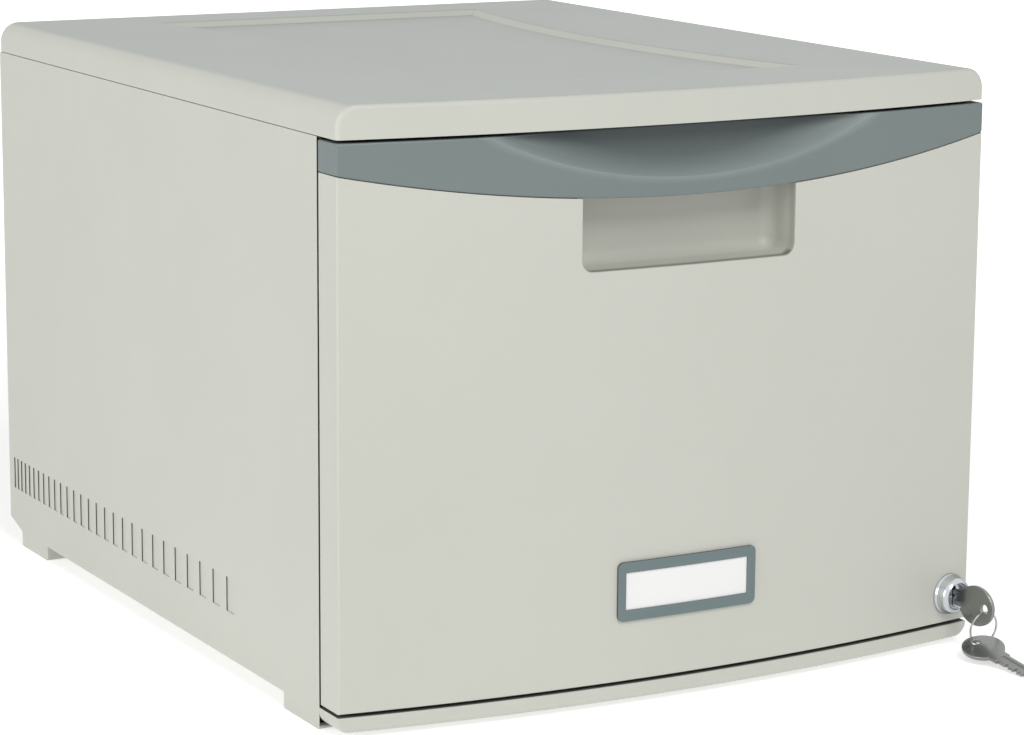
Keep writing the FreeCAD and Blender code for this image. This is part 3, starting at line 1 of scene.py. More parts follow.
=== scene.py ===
"""Dresses the desktop file drawer: a bow-fronted drawer in a moulded case, with lock and keys.

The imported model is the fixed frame. Shells that show are made again as smooth surfaces,
pressed and turned parts are refined from the frame's own solids, and every piece gets a
procedural finish. Lengths are in metres; sizes written in millimetres carry the MM factor.
"""

from __future__ import annotations

import json
import logging
import math
from collections.abc import Callable, Iterator
from contextlib import contextmanager
from dataclasses import dataclass
from enum import Enum

import bmesh
import bpy
import numpy as np
from mathutils import Matrix, Vector

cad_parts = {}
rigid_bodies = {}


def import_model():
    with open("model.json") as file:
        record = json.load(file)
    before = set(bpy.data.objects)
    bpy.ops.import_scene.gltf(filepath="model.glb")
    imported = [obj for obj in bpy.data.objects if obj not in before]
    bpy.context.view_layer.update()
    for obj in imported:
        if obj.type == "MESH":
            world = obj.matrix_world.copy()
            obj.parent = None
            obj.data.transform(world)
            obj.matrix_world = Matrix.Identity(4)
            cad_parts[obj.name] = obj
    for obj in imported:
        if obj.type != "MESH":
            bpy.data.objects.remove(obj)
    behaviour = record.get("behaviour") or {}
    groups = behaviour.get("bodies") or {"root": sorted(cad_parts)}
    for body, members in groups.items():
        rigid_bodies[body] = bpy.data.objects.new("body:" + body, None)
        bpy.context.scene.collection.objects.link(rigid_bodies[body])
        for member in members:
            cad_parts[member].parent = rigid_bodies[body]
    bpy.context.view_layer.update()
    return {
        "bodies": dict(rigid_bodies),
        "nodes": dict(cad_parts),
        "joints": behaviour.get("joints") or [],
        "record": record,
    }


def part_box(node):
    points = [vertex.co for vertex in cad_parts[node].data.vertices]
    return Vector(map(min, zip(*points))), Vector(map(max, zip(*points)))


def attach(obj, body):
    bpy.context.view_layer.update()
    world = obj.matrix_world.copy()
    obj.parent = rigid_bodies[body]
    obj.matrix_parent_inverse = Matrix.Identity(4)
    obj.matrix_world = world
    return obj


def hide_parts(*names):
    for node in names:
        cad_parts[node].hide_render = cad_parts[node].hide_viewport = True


LOG = logging.getLogger("file_drawer")
MM = 0.001
IMAGE_WIDTH = 1024
MERGE = 2e-6  # points closer than this are one point
HAIR = 0.05 * MM  # how far off a plane a face may lie and still count as on it
# The hollow attribute carries painted shade in the pocket and the scoop, and a painted
# highlight on the scoop's rim.
HOLLOW = "hollow"  # the attribute that tints a piece's hollows

Colour = tuple[float, float, float]
Point = tuple[float, float, float]
FaceTest = Callable[[np.ndarray, np.ndarray], np.ndarray]
PointShare = Callable[[np.ndarray, np.ndarray, np.ndarray], np.ndarray]


# ------------------------------------------------------------------ numbers
def arc(start: float, end: float, steps: int) -> np.ndarray:
    """Angles from start to end in degrees, as radians, both ends included."""
    return np.radians(np.linspace(start, end, steps + 1))


def join(*parts: np.ndarray) -> np.ndarray:
    """Chain runs of values or points and drop each run's repeated first entry."""
    return np.concatenate([parts[0]] + [part[1:] for part in parts[1:]])


def spaced(*stops: float, step: float) -> np.ndarray:
    """Values that pass through some stops in even gaps.

    Args:
        *stops: values on the way, in order.
        step: widest gap.

    Returns:
        The values, both ends included.
    """
    runs = [
        np.linspace(low, high, max(2, int(math.ceil(abs(high - low) / step)) + 1))
        for low, high in zip(stops, stops[1:])
    ]
    return join(*runs)


@dataclass(frozen=True)
class Bow:
    """The circular bow that the cap, the drawer front and the chin share.

    Attributes:
        half: half of the chord.
        corner: depth (Y) of the chord's ends.
        rise: how far the middle stands in front of the ends.
    """

    half: float
    corner: float
    rise: float

    @property
    def radius(self) -> float:
        """Radius of the circle through both ends and the crest."""
        return (self.half**2 + self.rise**2) / (2 * self.rise)

    @property
    def crest(self) -> float:
        """Depth of the foremost line."""
        return self.corner - self.rise

    def face(self, x: np.ndarray | float) -> np.ndarray:
        """Depth of the circle at the places x."""
        return self.crest + self.radius - np.sqrt(self.radius**2 - np.asarray(x) ** 2)

    def held(self, x: np.ndarray) -> np.ndarray:
        """Depth of the circle, where places past the chord's ends count as the ends."""
        return self.face(np.clip(x, -self.half, self.half))


# ------------------------------------------------------------------- meshes
def read(rows: bpy.types.bpy_prop_collection, name: str) -> np.ndarray:
    """Read one vector property of every vertex or face.

    Args:
        rows: a mesh's vertices or faces.
        name: the property.

    Returns:
        Array of shape (count, 3).
    """
    values = np.empty(len(rows) * 3)
    rows.foreach_get(name, values)
    return values.reshape(-1, 3)


@contextmanager
def opened(mesh: bpy.types.Mesh) -> Iterator[bmesh.types.BMesh]:
    """Open a mesh for editing and write it back afterwards.

    Args:
        mesh: the mesh.

    Yields:
        The mesh, open for editing.
    """
    work = bmesh.new()
    work.from_mesh(mesh)
    yield work
    work.to_mesh(mesh)
    work.free()


def linked(name: str, data: bpy.types.ID) -> bpy.types.Object:
    """Make an object of a mesh, a lamp or a camera and put it into the scene.

    Args:
        name: name of the object.
        data: what it shows.

    Returns:
        The object, at the origin.
    """
    item = bpy.data.objects.new(name, data)
    bpy.context.scene.collection.objects.link(item)
    return item


def mesh_object(name: str, points: np.ndarray, faces: list) -> bpy.types.Object:
    """Put points and faces into a new smooth mesh and link its object.

    Args:
        name: name of the object and its mesh.
        points: array of shape (count, 3).
        faces: vertex indices of each face.

    Returns:
        The linked object, at the origin.
    """
    mesh = bpy.data.meshes.new(name)
    mesh.from_pydata(np.asarray(points, float).tolist(), [], faces)
    mesh.polygons.foreach_set("use_smooth", np.ones(len(mesh.polygons), bool))
    mesh.update()
    return linked(name, mesh)


def surface(
    name: str,
    grid: np.ndarray,
    ring_rows: bool = False,
    ring_columns: bool = False,
    fans: bool = False,
) -> bpy.types.Object:
    """Make quads between the neighbours of a grid of points.

    Args:
        name: name of the object.
        grid: points of shape (rows, columns, 3).
        ring_rows: join the last row to the first.
        ring_columns: join the last column to the first.
        fans: close the first and the last row with a fan about its middle.

    Returns:
        The new object, its normals turned outwards.
    """
    rows, columns = grid.shape[:2]
    index = np.arange(rows * columns).reshape(rows, columns)
    if ring_rows:
        index = np.vstack([index, index[:1]])
    if ring_columns:
        index = np.hstack([index, index[:, :1]])
    quads = np.stack(
        [index[:-1, :-1], index[:-1, 1:], index[1:, 1:], index[1:, :-1]], axis=-1
    ).reshape(-1, 4)
    points, faces = grid.reshape(-1, 3), quads.tolist()
    for end in (0, -1) if fans else ():
        hub = len(points)
        points = np.vstack([points, grid[end].mean(axis=0)])
        faces += [[int(a), int(b), hub] for a, b in zip(index[end][:-1], index[end][1:])]
    item = mesh_object(name, points, faces)
    clean(item)
    return item


def clean(item: bpy.types.Object, merge: float = 1e-7) -> None:
    """Merge doubles, drop faces without area and turn the normals outwards.

    Args:
        item: the piece.
        merge: points closer than this become one.
    """
    with opened(item.data) as work:
        bmesh.ops.remove_doubles(work, verts=work.verts, dist=merge)
        bmesh.ops.dissolve_degenerate(work, edges=work.edges, dist=merge)
        bmesh.ops.recalc_face_normals(work, faces=work.faces)


def thicken(item: bpy.types.Object, wall: float, behind: Point) -> None:
    """Give an open skin its wall on the inside, with the inner faces in the first finish.

    Args:
        item: the skin.
        wall: wall thickness.
        behind: a point behind the skin, which most of its area is turned away from.
    """
    faces = item.data.polygons
    areas = np.empty(len(faces))
    faces.foreach_get("area", areas)
    outward = ((read(faces, "center") - np.array(behind)) * read(faces, "normal")).sum(axis=1)
    if float((outward * areas).sum()) < 0:
        item.data.flip_normals()
    solid = item.modifiers.new("wall", "SOLIDIFY")
    solid.thickness = wall
    solid.offset = -1
    solid.material_offset = -1


def round_edges(item: bpy.types.Object, width: float, angle: float = 40) -> None:
    """Round the sharp edges and weight the normals by area.

    Args:
        item: the piece.
        width: width of the rounding, or 0 for none.
        angle: edges sharper than this, in degrees, are rounded.
    """
    if width:
        bevel = item.modifiers.new("edges", "BEVEL")
        bevel.width = width
        bevel.segments = 2
        bevel.limit_method = "ANGLE"
        bevel.angle_limit = math.radians(angle)
        bevel.use_clamp_overlap = True
    weigh = item.modifiers.new("normals", "WEIGHTED_NORMAL")
    weigh.keep_sharp = True


def fillet_profile(corners: list[tuple[float, float, float]], steps: int = 4) -> np.ndarray:
    """Round the corners of a closed outline of (a, b, run) points with short arcs.

    Each corner is replaced by points of the quadratic curve from one tangent point to
    the other, with the corner as its control point.

    Args:
        corners: outline points with the run that each rounding takes.
        steps: pieces of each rounding.

    Returns:
        Array of (a, b) points.
    """
    points = []
    for index, (a, b, run) in enumerate(corners):
        here = np.array([a, b])
        if not run:
            points.append(here)
            continue
        last = np.array(corners[index - 1][:2])
        following = np.array(corners[(index + 1) % len(corners)][:2])
        start = here + (last - here) / np.linalg.norm(last - here) * run
        end = here + (following - here) / np.linalg.norm(following - here) * run
        for share in np.linspace(0, 1, steps + 1):
            points.append(
                (1 - share) ** 2 * start + 2 * share * (1 - share) * here + share**2 * end
            )
    return np.array(points)


def mark_hollow(item: bpy.types.Object, share: PointShare, least: float = 0.0) -> None:
    """Write each point's share of painted shade in a hollow, up to 1, as the piece's
    attribute.

    Args:
        item: the piece.
        share: function of the points' x, y and z that returns the values.
        least: lowest value, below 0 where a painted highlight makes a rim lighter than the
            face.
    """
    layer = item.data.attributes.new(HOLLOW, "FLOAT", "POINT")
    values = share(*read(item.data.vertices, "co").T)
    layer.data.foreach_set("value", np.clip(values, least, 1))


# ------------------------------------------------------------------ shaders
class Group(Enum):
    """Shader node groups that several materials share."""

    GRAIN = "moulded_grain"
    MOTTLE = "colour_mottle"
    SMUDGE = "handling_smudges"
    BRUSH = "brushed_lines"


Groups = dict[Group, bpy.types.ShaderNodeTree]
Tree = bpy.types.ShaderNodeTree
Socket = bpy.types.NodeSocket


def new_group(
    kind: Group, inputs: dict[str, float | tuple], output: str
) -> tuple[Tree, bpy.types.Node, bpy.types.Node]:
    """Start a node group with float or colour inputs and one output.

    Args:
        kind: which group.
        inputs: default of each input; a tuple makes it a colour.
        output: the output's name; Colour makes it a colour.

    Returns:
        The group's tree with its input and its output node.
    """
    tree = bpy.data.node_groups.new(kind.value, "ShaderNodeTree")
    kinds = {True: "NodeSocketColor", False: "NodeSocketFloat"}
    for name, value in inputs.items():
        socket = tree.interface.new_socket(name, in_out="INPUT",
                                           socket_type=kinds[isinstance(value, tuple)])
        socket.default_value = value
    tree.interface.new_socket(output, in_out="OUTPUT", socket_type=kinds[output == "Colour"])
    return tree, tree.nodes.new("NodeGroupInput"), tree.nodes.new("NodeGroupOutput")


def node(tree: Tree, kind: str, settings: dict | None = None, **links) -> bpy.types.Node:
    """Add a node, set its properties and feed its inputs with values or sockets.

    Args:
        tree: the node tree.
        kind: Blender's type name without the ShaderNode prefix.
        settings: properties of the node itself.
        **links: input names, with underscores for spaces, or i0, i1 for their places.

    Returns:
        The new node.
    """
    item = tree.nodes.new("ShaderNode" + kind)
    for key, value in (settings or {}).items():
        setattr(item, key, value)
    for key, value in links.items():
        place = int(key[1:]) if key[0] == "i" and key[1:].isdigit() else key.replace("_", " ")
        socket = item.inputs[place]
        if isinstance(value, Socket):
            tree.links.new(value, socket)
        else:
            socket.default_value = value
    return item


def maths(tree: Tree, operation: str, *values: Socket | float, clamp: bool = False) -> Socket:
    """Work out one sum.

    Args:
        tree: the node tree.
        operation: Blender's name of the sum.
        *values: what goes in.
        clamp: hold the result between 0 and 1.

    Returns:
        The result.
    """
    links = {f"i{place}": value for place, value in enumerate(values)}
    return node(tree, "Math", {"operation": operation, "use_clamp": clamp}, **links).outputs[0]


def ramp(tree: Tree, value: Socket, start: float, end: float,
         low: float = 0.0, high: float = 1.0) -> Socket:
    """A value that goes evenly from low to high while another goes from start to end."""
    return node(tree, "MapRange", i0=value, i1=start, i2=end, i3=low, i4=high).outputs[0]


def mixed(tree: Tree, share: Socket, first: Socket, second: Socket | tuple,
          clamp: bool = True) -> Socket:
    """Mix two colours by a share; without the clamp a share below 0 goes past the first."""
    settings = {"data_type": "RGBA", "clamp_factor": clamp}
    return node(tree, "Mix", settings, i0=share, i6=first, i7=second).outputs[2]


def noise(tree: Tree, place: Socket, scale: Socket | float, detail: float,
          rough: float = 0.5, warp: float = 0.0) -> Socket:
    """Noise over the places, as values about 0.5."""
    return node(tree, "TexNoise", Vector=place, Scale=scale, Detail=detail, Roughness=rough,
                Distortion=warp).outputs["Fac"]


def on_object(tree: Tree) -> Socket:
    """Places on the object, which move with it."""
    return node(tree, "TexCoord").outputs["Object"]


def grain_group() -> Tree:
    """Make the group for mould grain: fine noise on a broad unevenness.

    Returns:
        The group.
    """
    tree, given, out = new_group(Group.GRAIN, {"Scale": 900.0}, "Height")
    broad_scale, broad_height = 55.0, 2.5
    place = on_object(tree)
    fine = noise(tree, place, given.outputs["Scale"], detail=3.0, rough=0.6)
    broad = noise(tree, place, broad_scale, detail=2.0)
    height = maths(tree, "MULTIPLY_ADD", broad, broad_height, fine)
    tree.links.new(height, out.inputs["Height"])
    return tree


def mottle_group() -> Tree:
    """Make the group for colour mottle: soft clouds and small specks of the shade.

    Returns:
        The group.
    """
    tree, given, out = new_group(
        Group.MOTTLE,
        {"Colour": (0.6, 0.6, 0.6, 1.0), "Shade": (0.5, 0.5, 0.5, 1.0), "Amount": 0.3},
        "Colour",
    )
    cloud_scale, speck_scale, speck_strength = 7.0, 260.0, 0.6
    place = on_object(tree)
    cloud = noise(tree, place, cloud_scale, detail=5.0, rough=0.65)
    clouds = ramp(tree, cloud, start=0.35, end=0.75)
    speck = noise(tree, place, speck_scale, detail=2.0)
    specks = ramp(tree, speck, start=0.68, end=0.80, high=speck_strength)
    most = maths(tree, "MAXIMUM", clouds, specks)
    share = maths(tree, "MULTIPLY", most, given.outputs["Amount"])
    colour = mixed(tree, share, given.outputs["Colour"], given.outputs["Shade"])
    tree.links.new(colour, out.inputs["Colour"])
    return tree


def smudge_group() -> Tree:
    """Make the group for smudges of handling: a roughness that wanders about its base.

    Returns:
        The group.
    """
    tree, given, out = new_group(Group.SMUDGE, {"Base": 0.45, "Spread": 0.12}, "Roughness")
    streak_scale, streak_warp = 14.0, 0.6
    streaks = noise(tree, on_object(tree), streak_scale, detail=6.0, rough=0.7,
                    warp=streak_warp)
    about_zero = maths(tree, "SUBTRACT", streaks, 0.5)
    rough = maths(tree, "MULTIPLY_ADD", about_zero, given.outputs["Spread"],
                  given.outputs["Base"], clamp=True)
    tree.links.new(rough, out.inputs["Roughness"])
    return tree


def brush_group() -> Tree:
    """Make the group for drawn lines: noise that is stretched along X.

    Returns:
        The group.
    """
    tree, given, out = new_group(Group.BRUSH, {"Scale": 400.0, "Stretch": 0.05}, "Height")
    squeeze = node(tree, "CombineXYZ", i0=given.outputs["Stretch"], i1=1.0, i2=1.0)
    place = node(tree, "VectorMath", {"operation": "MULTIPLY"}, i0=on_object(tree),
                 i1=squeeze.outputs[0])
    lines = noise(tree, place.outputs[0], given.outputs["Scale"], detail=4.0, rough=0.7)
    tree.links.new(lines, out.inputs["Height"])
    return tree


def linear(red: float, green: float, blue: float) -> tuple[float, float, float, float]:
    """Turn a display colour into linear light, by the usual display curve.

    Args:
        red: display value of 0 to 255.
        green: the same for green.
        blue: the same for blue.

    Returns:
        Red, green and blue of 0 to 1, with an alpha of 1.
    """
    values = np.array([red, green, blue]) / 255
    light = np.where(values <= 0.04045, values / 12.92, ((values + 0.055) / 1.055) ** 2.4)
    return (float(light[0]), float(light[1]), float(light[2]), 1.0)


def principled(name: str) -> tuple[bpy.types.Material, Tree, bpy.types.Node]:
    """Start a material.

    Args:
        name: its name.

    Returns:
        The material, its node tree and its Principled shader.
    """
    material = bpy.data.materials.new(name)
    material.use_nodes = True
    return material, material.node_tree, material.node_tree.nodes["Principled BSDF"]


def grouped(tree: Tree, group: Tree, output: str, **values: float | tuple) -> Socket:
    """Place a shared group in a tree with its own values.

    Args:
        tree: the material's tree.
        group: the shared group.
        output: name of the output that is wanted.
        **values: the inputs' values.

    Returns:
        The output.
    """
    item = tree.nodes.new("ShaderNodeGroup")
    item.node_tree = group
    for key, value in values.items():
        item.inputs[key].default_value = value
    return item.outputs[output]


@dataclass(frozen=True)
class Finish:
    """A finish with a mottled colour, a smudged gloss and a fine relief.

    Attributes:
        name: material name.
        colour: display colour.
        shade: display colour of the mottling.
        amount: strength of the mottling.
        metallic: 1 for bare or plated metal, 0 for plastic or a coating.
        rough: middle roughness.
        spread: variation of the roughness.
        relief: bump distance of the grain or the drawn lines.
    """

    name: str
    colour: Colour
    shade: Colour
    amount: float = 0.3
    metallic: float = 0.0
    rough: float = 0.45
    spread: float = 0.10
    relief: float = 0.02 * MM

    def build(self, groups: Groups) -> bpy.types.Material:
        """Make the material from the shared groups.

        Args:
            groups: the shared groups.

        Returns:
            The material.
        """
        material, tree, shader = principled(self.name)
        mottle = grouped(tree, groups[Group.MOTTLE], "Colour", Colour=linear(*self.colour),
                         Shade=linear(*self.shade), Amount=self.amount)
        rough = grouped(tree, groups[Group.SMUDGE], "Roughness", Base=self.rough,
                        Spread=self.spread)
        bump = node(tree, "Bump", Height=self.height(tree, groups), Distance=self.relief,
                    Strength=1.0)
        shader.inputs["Metallic"].default_value = self.metallic
        tree.links.new(self.tinted(tree, mottle), shader.inputs["Base Color"])
        tree.links.new(rough, shader.inputs["Roughness"])
        tree.links.new(bump.outputs["Normal"], shader.inputs["Normal"])
        return material

    def height(self, tree: Tree, groups: Groups) -> Socket:
        """Height of the surface's relief."""
        raise NotImplementedError

    def tinted(self, tree: Tree, colour: Socket) -> Socket:
        """The colour with what the finish adds to it."""
        raise NotImplementedError


@dataclass(frozen=True)
class Moulded(Finish):
    """A moulded plastic finish.

    Attributes:
        scale: how fine the grain is.
        top_shade: display colour of faces that look up, a painted shade that darkens the top.
        hollow: display colour of the painted shade where the piece's attribute of that name
            reaches 1.
    """

    scale: float = 900.0
    top_shade: Colour | None = None
    hollow: Colour | None = None

    def height(self, tree: Tree, groups: Groups) -> Socket:
        """Height of the mould grain."""
        return grouped(tree, groups[Group.GRAIN], "Height", Scale=self.scale)

    def tinted(self, tree: Tree, colour: Socket) -> Socket:
        """Paint shade on faces that look up, and paint shade in the hollows or a highlight on
        a rim.

        Args:
            tree: the material's tree.
            colour: the mottled colour.

        Returns:
            The tinted colour.
        """
        if self.top_shade:
            facing = node(tree, "SeparateXYZ", i0=node(tree, "TexCoord").outputs["Normal"])
            upward = ramp(tree, facing.outputs["Z"], start=0.86, end=0.99)
            colour = mixed(tree, upward, colour, linear(*self.top_shade))
        if self.hollow:
            # Painted shade where the attribute is above 0, painted highlight where it is below
            # 0.
            sunk = node(tree, "Attribute", {"attribute_name": HOLLOW}).outputs["Fac"]
            colour = mixed(tree, sunk, colour, linear(*self.hollow), clamp=False)
        return colour


@dataclass(frozen=True)
class Plated(Finish):
    """A metal or coated steel finish with drawn lines.

    Attributes:
        rim: display colour of faces seen edge on, a painted dark reflection round the metal's
            outline.
    """

    amount: float = 0.6
    metallic: float = 1.0
    rough: float = 0.3
    spread: float = 0.15
    relief: float = 0.01 * MM
    rim: Colour | None = None

    def height(self, tree: Tree, groups: Groups) -> Socket:
        """Height of the drawn lines."""
        return grouped(tree, groups[Group.BRUSH], "Height", Scale=700.0, Stretch=0.08)

    def tinted(self, tree: Tree, colour: Socket) -> Socket:
        """Paint a dark reflection where the metal is seen edge on.

        Args:
            tree: the material's tree.
            colour: the mottled colour.

        Returns:
            The tinted colour.
        """
        if self.rim:
            edge_on = node(tree, "LayerWeight", Blend=0.45).outputs["Facing"]
            share = ramp(tree, edge_on, start=0.45, end=1.0)
            colour = mixed(tree, share, colour, linear(*self.rim))
        return colour


class Slot(Enum):
    """The record's material slots."""

    CASE = "case"
    FRONT = "front"
    TUB = "tub"
    BAND = "band"
    LABEL_FRAME = "label_frame"
    CARD = "card"
    SLIDE = "slide"
    ROLLER = "roller"
    SCREW = "screw"
    LOCK = "lock"
    LOCK_WORKS = "lock_works"
    KEY = "key"
    RING = "ring"


class PaintedShade(Enum):
    """Painted shade that dims a piece's crannies and the gaps between parts."""

    DEEP_SHADE = "deep_shade"
    SOFT_SHADE = "soft_shade"
    SHADE = "shade"


FINISHES: dict[Slot | PaintedShade, Finish] = {
    # The case's top_shade is painted shade that darkens its upward faces.
    Slot.CASE: Moulded("case_plastic", (204, 206, 197), (192, 193, 184),
                       top_shade=(180, 185, 180)),
    # The front's hollow colour is painted shade in the hand pocket.
    Slot.FRONT: Moulded("front_plastic", (205, 206, 197), (195, 195, 186),
                        hollow=(112, 110, 98)),
    Slot.TUB: Moulded("tub_plastic", (196, 197, 191), (184, 185, 178), rough=0.5),
    # The band's hollow colour is painted shade in the scoop; below 0 it paints a highlight
    # along the scoop's rim.
    Slot.BAND: Moulded("band_plastic", (120, 131, 130), (110, 121, 121), rough=0.38,
                       relief=0.012 * MM, hollow=(82, 91, 92)),
    Slot.LABEL_FRAME: Moulded("label_frame_plastic", (111, 126, 128), (101, 115, 117),
                              rough=0.4, relief=0.01 * MM),
    Slot.CARD: Moulded("label_card", (247, 247, 247), (239, 240, 241), rough=0.8,
                       relief=0.006 * MM, scale=2500.0),
    Slot.SLIDE: Plated("coated_rail", (222, 221, 214), (206, 205, 198), metallic=0.0,
                       rough=0.35, relief=0.006 * MM),
    Slot.ROLLER: Moulded("nylon", (226, 225, 216), (214, 212, 202), rough=0.35,
                         relief=0.006 * MM),
    Slot.SCREW: Plated("zinc_screw", (176, 177, 178), (146, 147, 148), rough=0.32),
    # The lock's rim colour is a painted dark reflection where the bezel is seen edge on.
    Slot.LOCK: Plated("nickel_lock", (214, 217, 222), (186, 190, 196), rough=0.16,
                      spread=0.10, relief=0.002 * MM, rim=(52, 56, 60)),
    Slot.LOCK_WORKS: Plated("zinc_cam", (166, 166, 166), (140, 140, 140), rough=0.38),
    Slot.KEY: Plated("nickel_key", (154, 156, 154), (118, 119, 117), rough=0.28,
                     spread=0.25, relief=0.010 * MM),
    Slot.RING: Plated("bright_wire", (200, 200, 202), (160, 160, 162), rough=0.2,
                      relief=0.002 * MM),
    # Painted shade: darker finishes that stand in for the shade in crannies and gaps.
    PaintedShade.DEEP_SHADE: Moulded("case_deep_shade", (78, 79, 75), (60, 60, 57), rough=0.8),
    PaintedShade.SOFT_SHADE: Moulded("case_soft_shade", (112, 112, 106), (96, 96, 90), rough=0.8),
    PaintedShade.SHADE: Moulded("band_shade", (92, 100, 100), (84, 92, 92), rough=0.6),
}


class Kit:
    """What every sub-assembly needs: the frame, the finishes and a log of pieces."""

    def __init__(self, frame: dict) -> None:
        """Keep the frame and make the finishes.
        """
        self.frame = frame
        groups = {Group.GRAIN: grain_group(), Group.MOTTLE: mottle_group(),
                  Group.SMUDGE: smudge_group(), Group.BRUSH: brush_group()}
        self.materials = {use: finish.build(groups) for use, finish in FINISHES.items()}

    def dress(self, item: bpy.types.Object, slot: Slot, body: str, *nodes: str) -> None:
        """Give a piece its finish and let it ride on a body and stand for nodes.

        Args:
            item: the piece.
            slot: its finish.
            body: the body that it rides on.
            *nodes: the nodes that it stands for.
        """
        item.data.materials.clear()
        item.data.materials.append(self.materials[slot])
        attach(item, body)
        if nodes:
            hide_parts(*nodes)
        LOG.info("%s rides on %s", item.name, body)

    def refine(self, name: str, cad: str, slot: Slot, body: str,
               edge: float) -> bpy.types.Object:
        """Make a smooth copy of a node: merged, flat faces joined, edges rounded.

        Args:
            name: the new piece's name.
            cad: the node that it stands for.
            slot: its finish.
            body: the body that it rides on.
            edge: width of the rounded edges.

        Returns:
            The new piece.
        """
        flat, sharp = 0.6, 35.0
        mesh = self.frame["nodes"][cad].data.copy()
        mesh.name = name
        item = linked(name, mesh)
        with opened(mesh) as work:
            bmesh.ops.remove_doubles(work, verts=work.verts, dist=MERGE)
            bmesh.ops.dissolve_limit(work, angle_limit=math.radians(flat), verts=work.verts,
                                     edges=work.edges)
        if "custom_normal" in mesh.attributes:
            mesh.attributes.remove(mesh.attributes["custom_normal"])
        mesh.polygons.foreach_set("use_smooth", np.ones(len(mesh.polygons), bool))
        mesh.set_sharp_from_angle(angle=math.radians(sharp))
        round_edges(item, edge, sharp)
        self.dress(item, slot, body, cad)
        return item

    def paint_shade(self, item: bpy.types.Object, kind: PaintedShade, test: FaceTest) -> None:
        """Give the faces that pass a test a darker finish, painted shade for a cranny or a
        gap.

        Args:
            item: the piece.
            kind: which finish.
            test: function of the faces' centres and normals that returns a mask.
        """
        faces = item.data.polygons
        mask = test(read(faces, "center"), read(faces, "normal"))
        before = np.empty(len(faces), np.int32)
        faces.foreach_get("material_index", before)
        item.data.materials.append(self.materials[kind])
        last = len(item.data.materials) - 1
        faces.foreach_set("material_index", np.where(mask, last, before).astype(np.int32))


# ------------------------------------------------------------------ outlines
def shares(values: np.ndarray, stops: tuple[float, ...]) -> np.ndarray:
    """How much each stop counts at each value, with even passage between two stops.

    Args:
        values: places between the stops.
        stops: rising places.

    Returns:
        Array with a row for each value and a column for each stop.
    """
    return np.stack([np.interp(values, stops, row) for row in np.eye(len(stops))], axis=1)


def mirrored(left: np.ndarray) -> np.ndarray:
    """An (x, z) outline from its left half, which ends on the middle line."""
    return join(left, left[::-1] * np.array([-1, 1]))


def beside(path: np.ndarray, depth: np.ndarray | float, z: np.ndarray | float) -> np.ndarray:
    """Points behind a plan path by a depth, at the heights z.

    Args:
        path: places and inward directions, as rows of (x, y, inward x, inward y).
        depth: distance inwards.
        z: heights.

    Returns:
        Array of points, one for each place.
    """
    x, y, inward_x, inward_y = path.T
    return np.stack([x + inward_x * depth, y + inward_y * depth, 0 * x + z], axis=1)


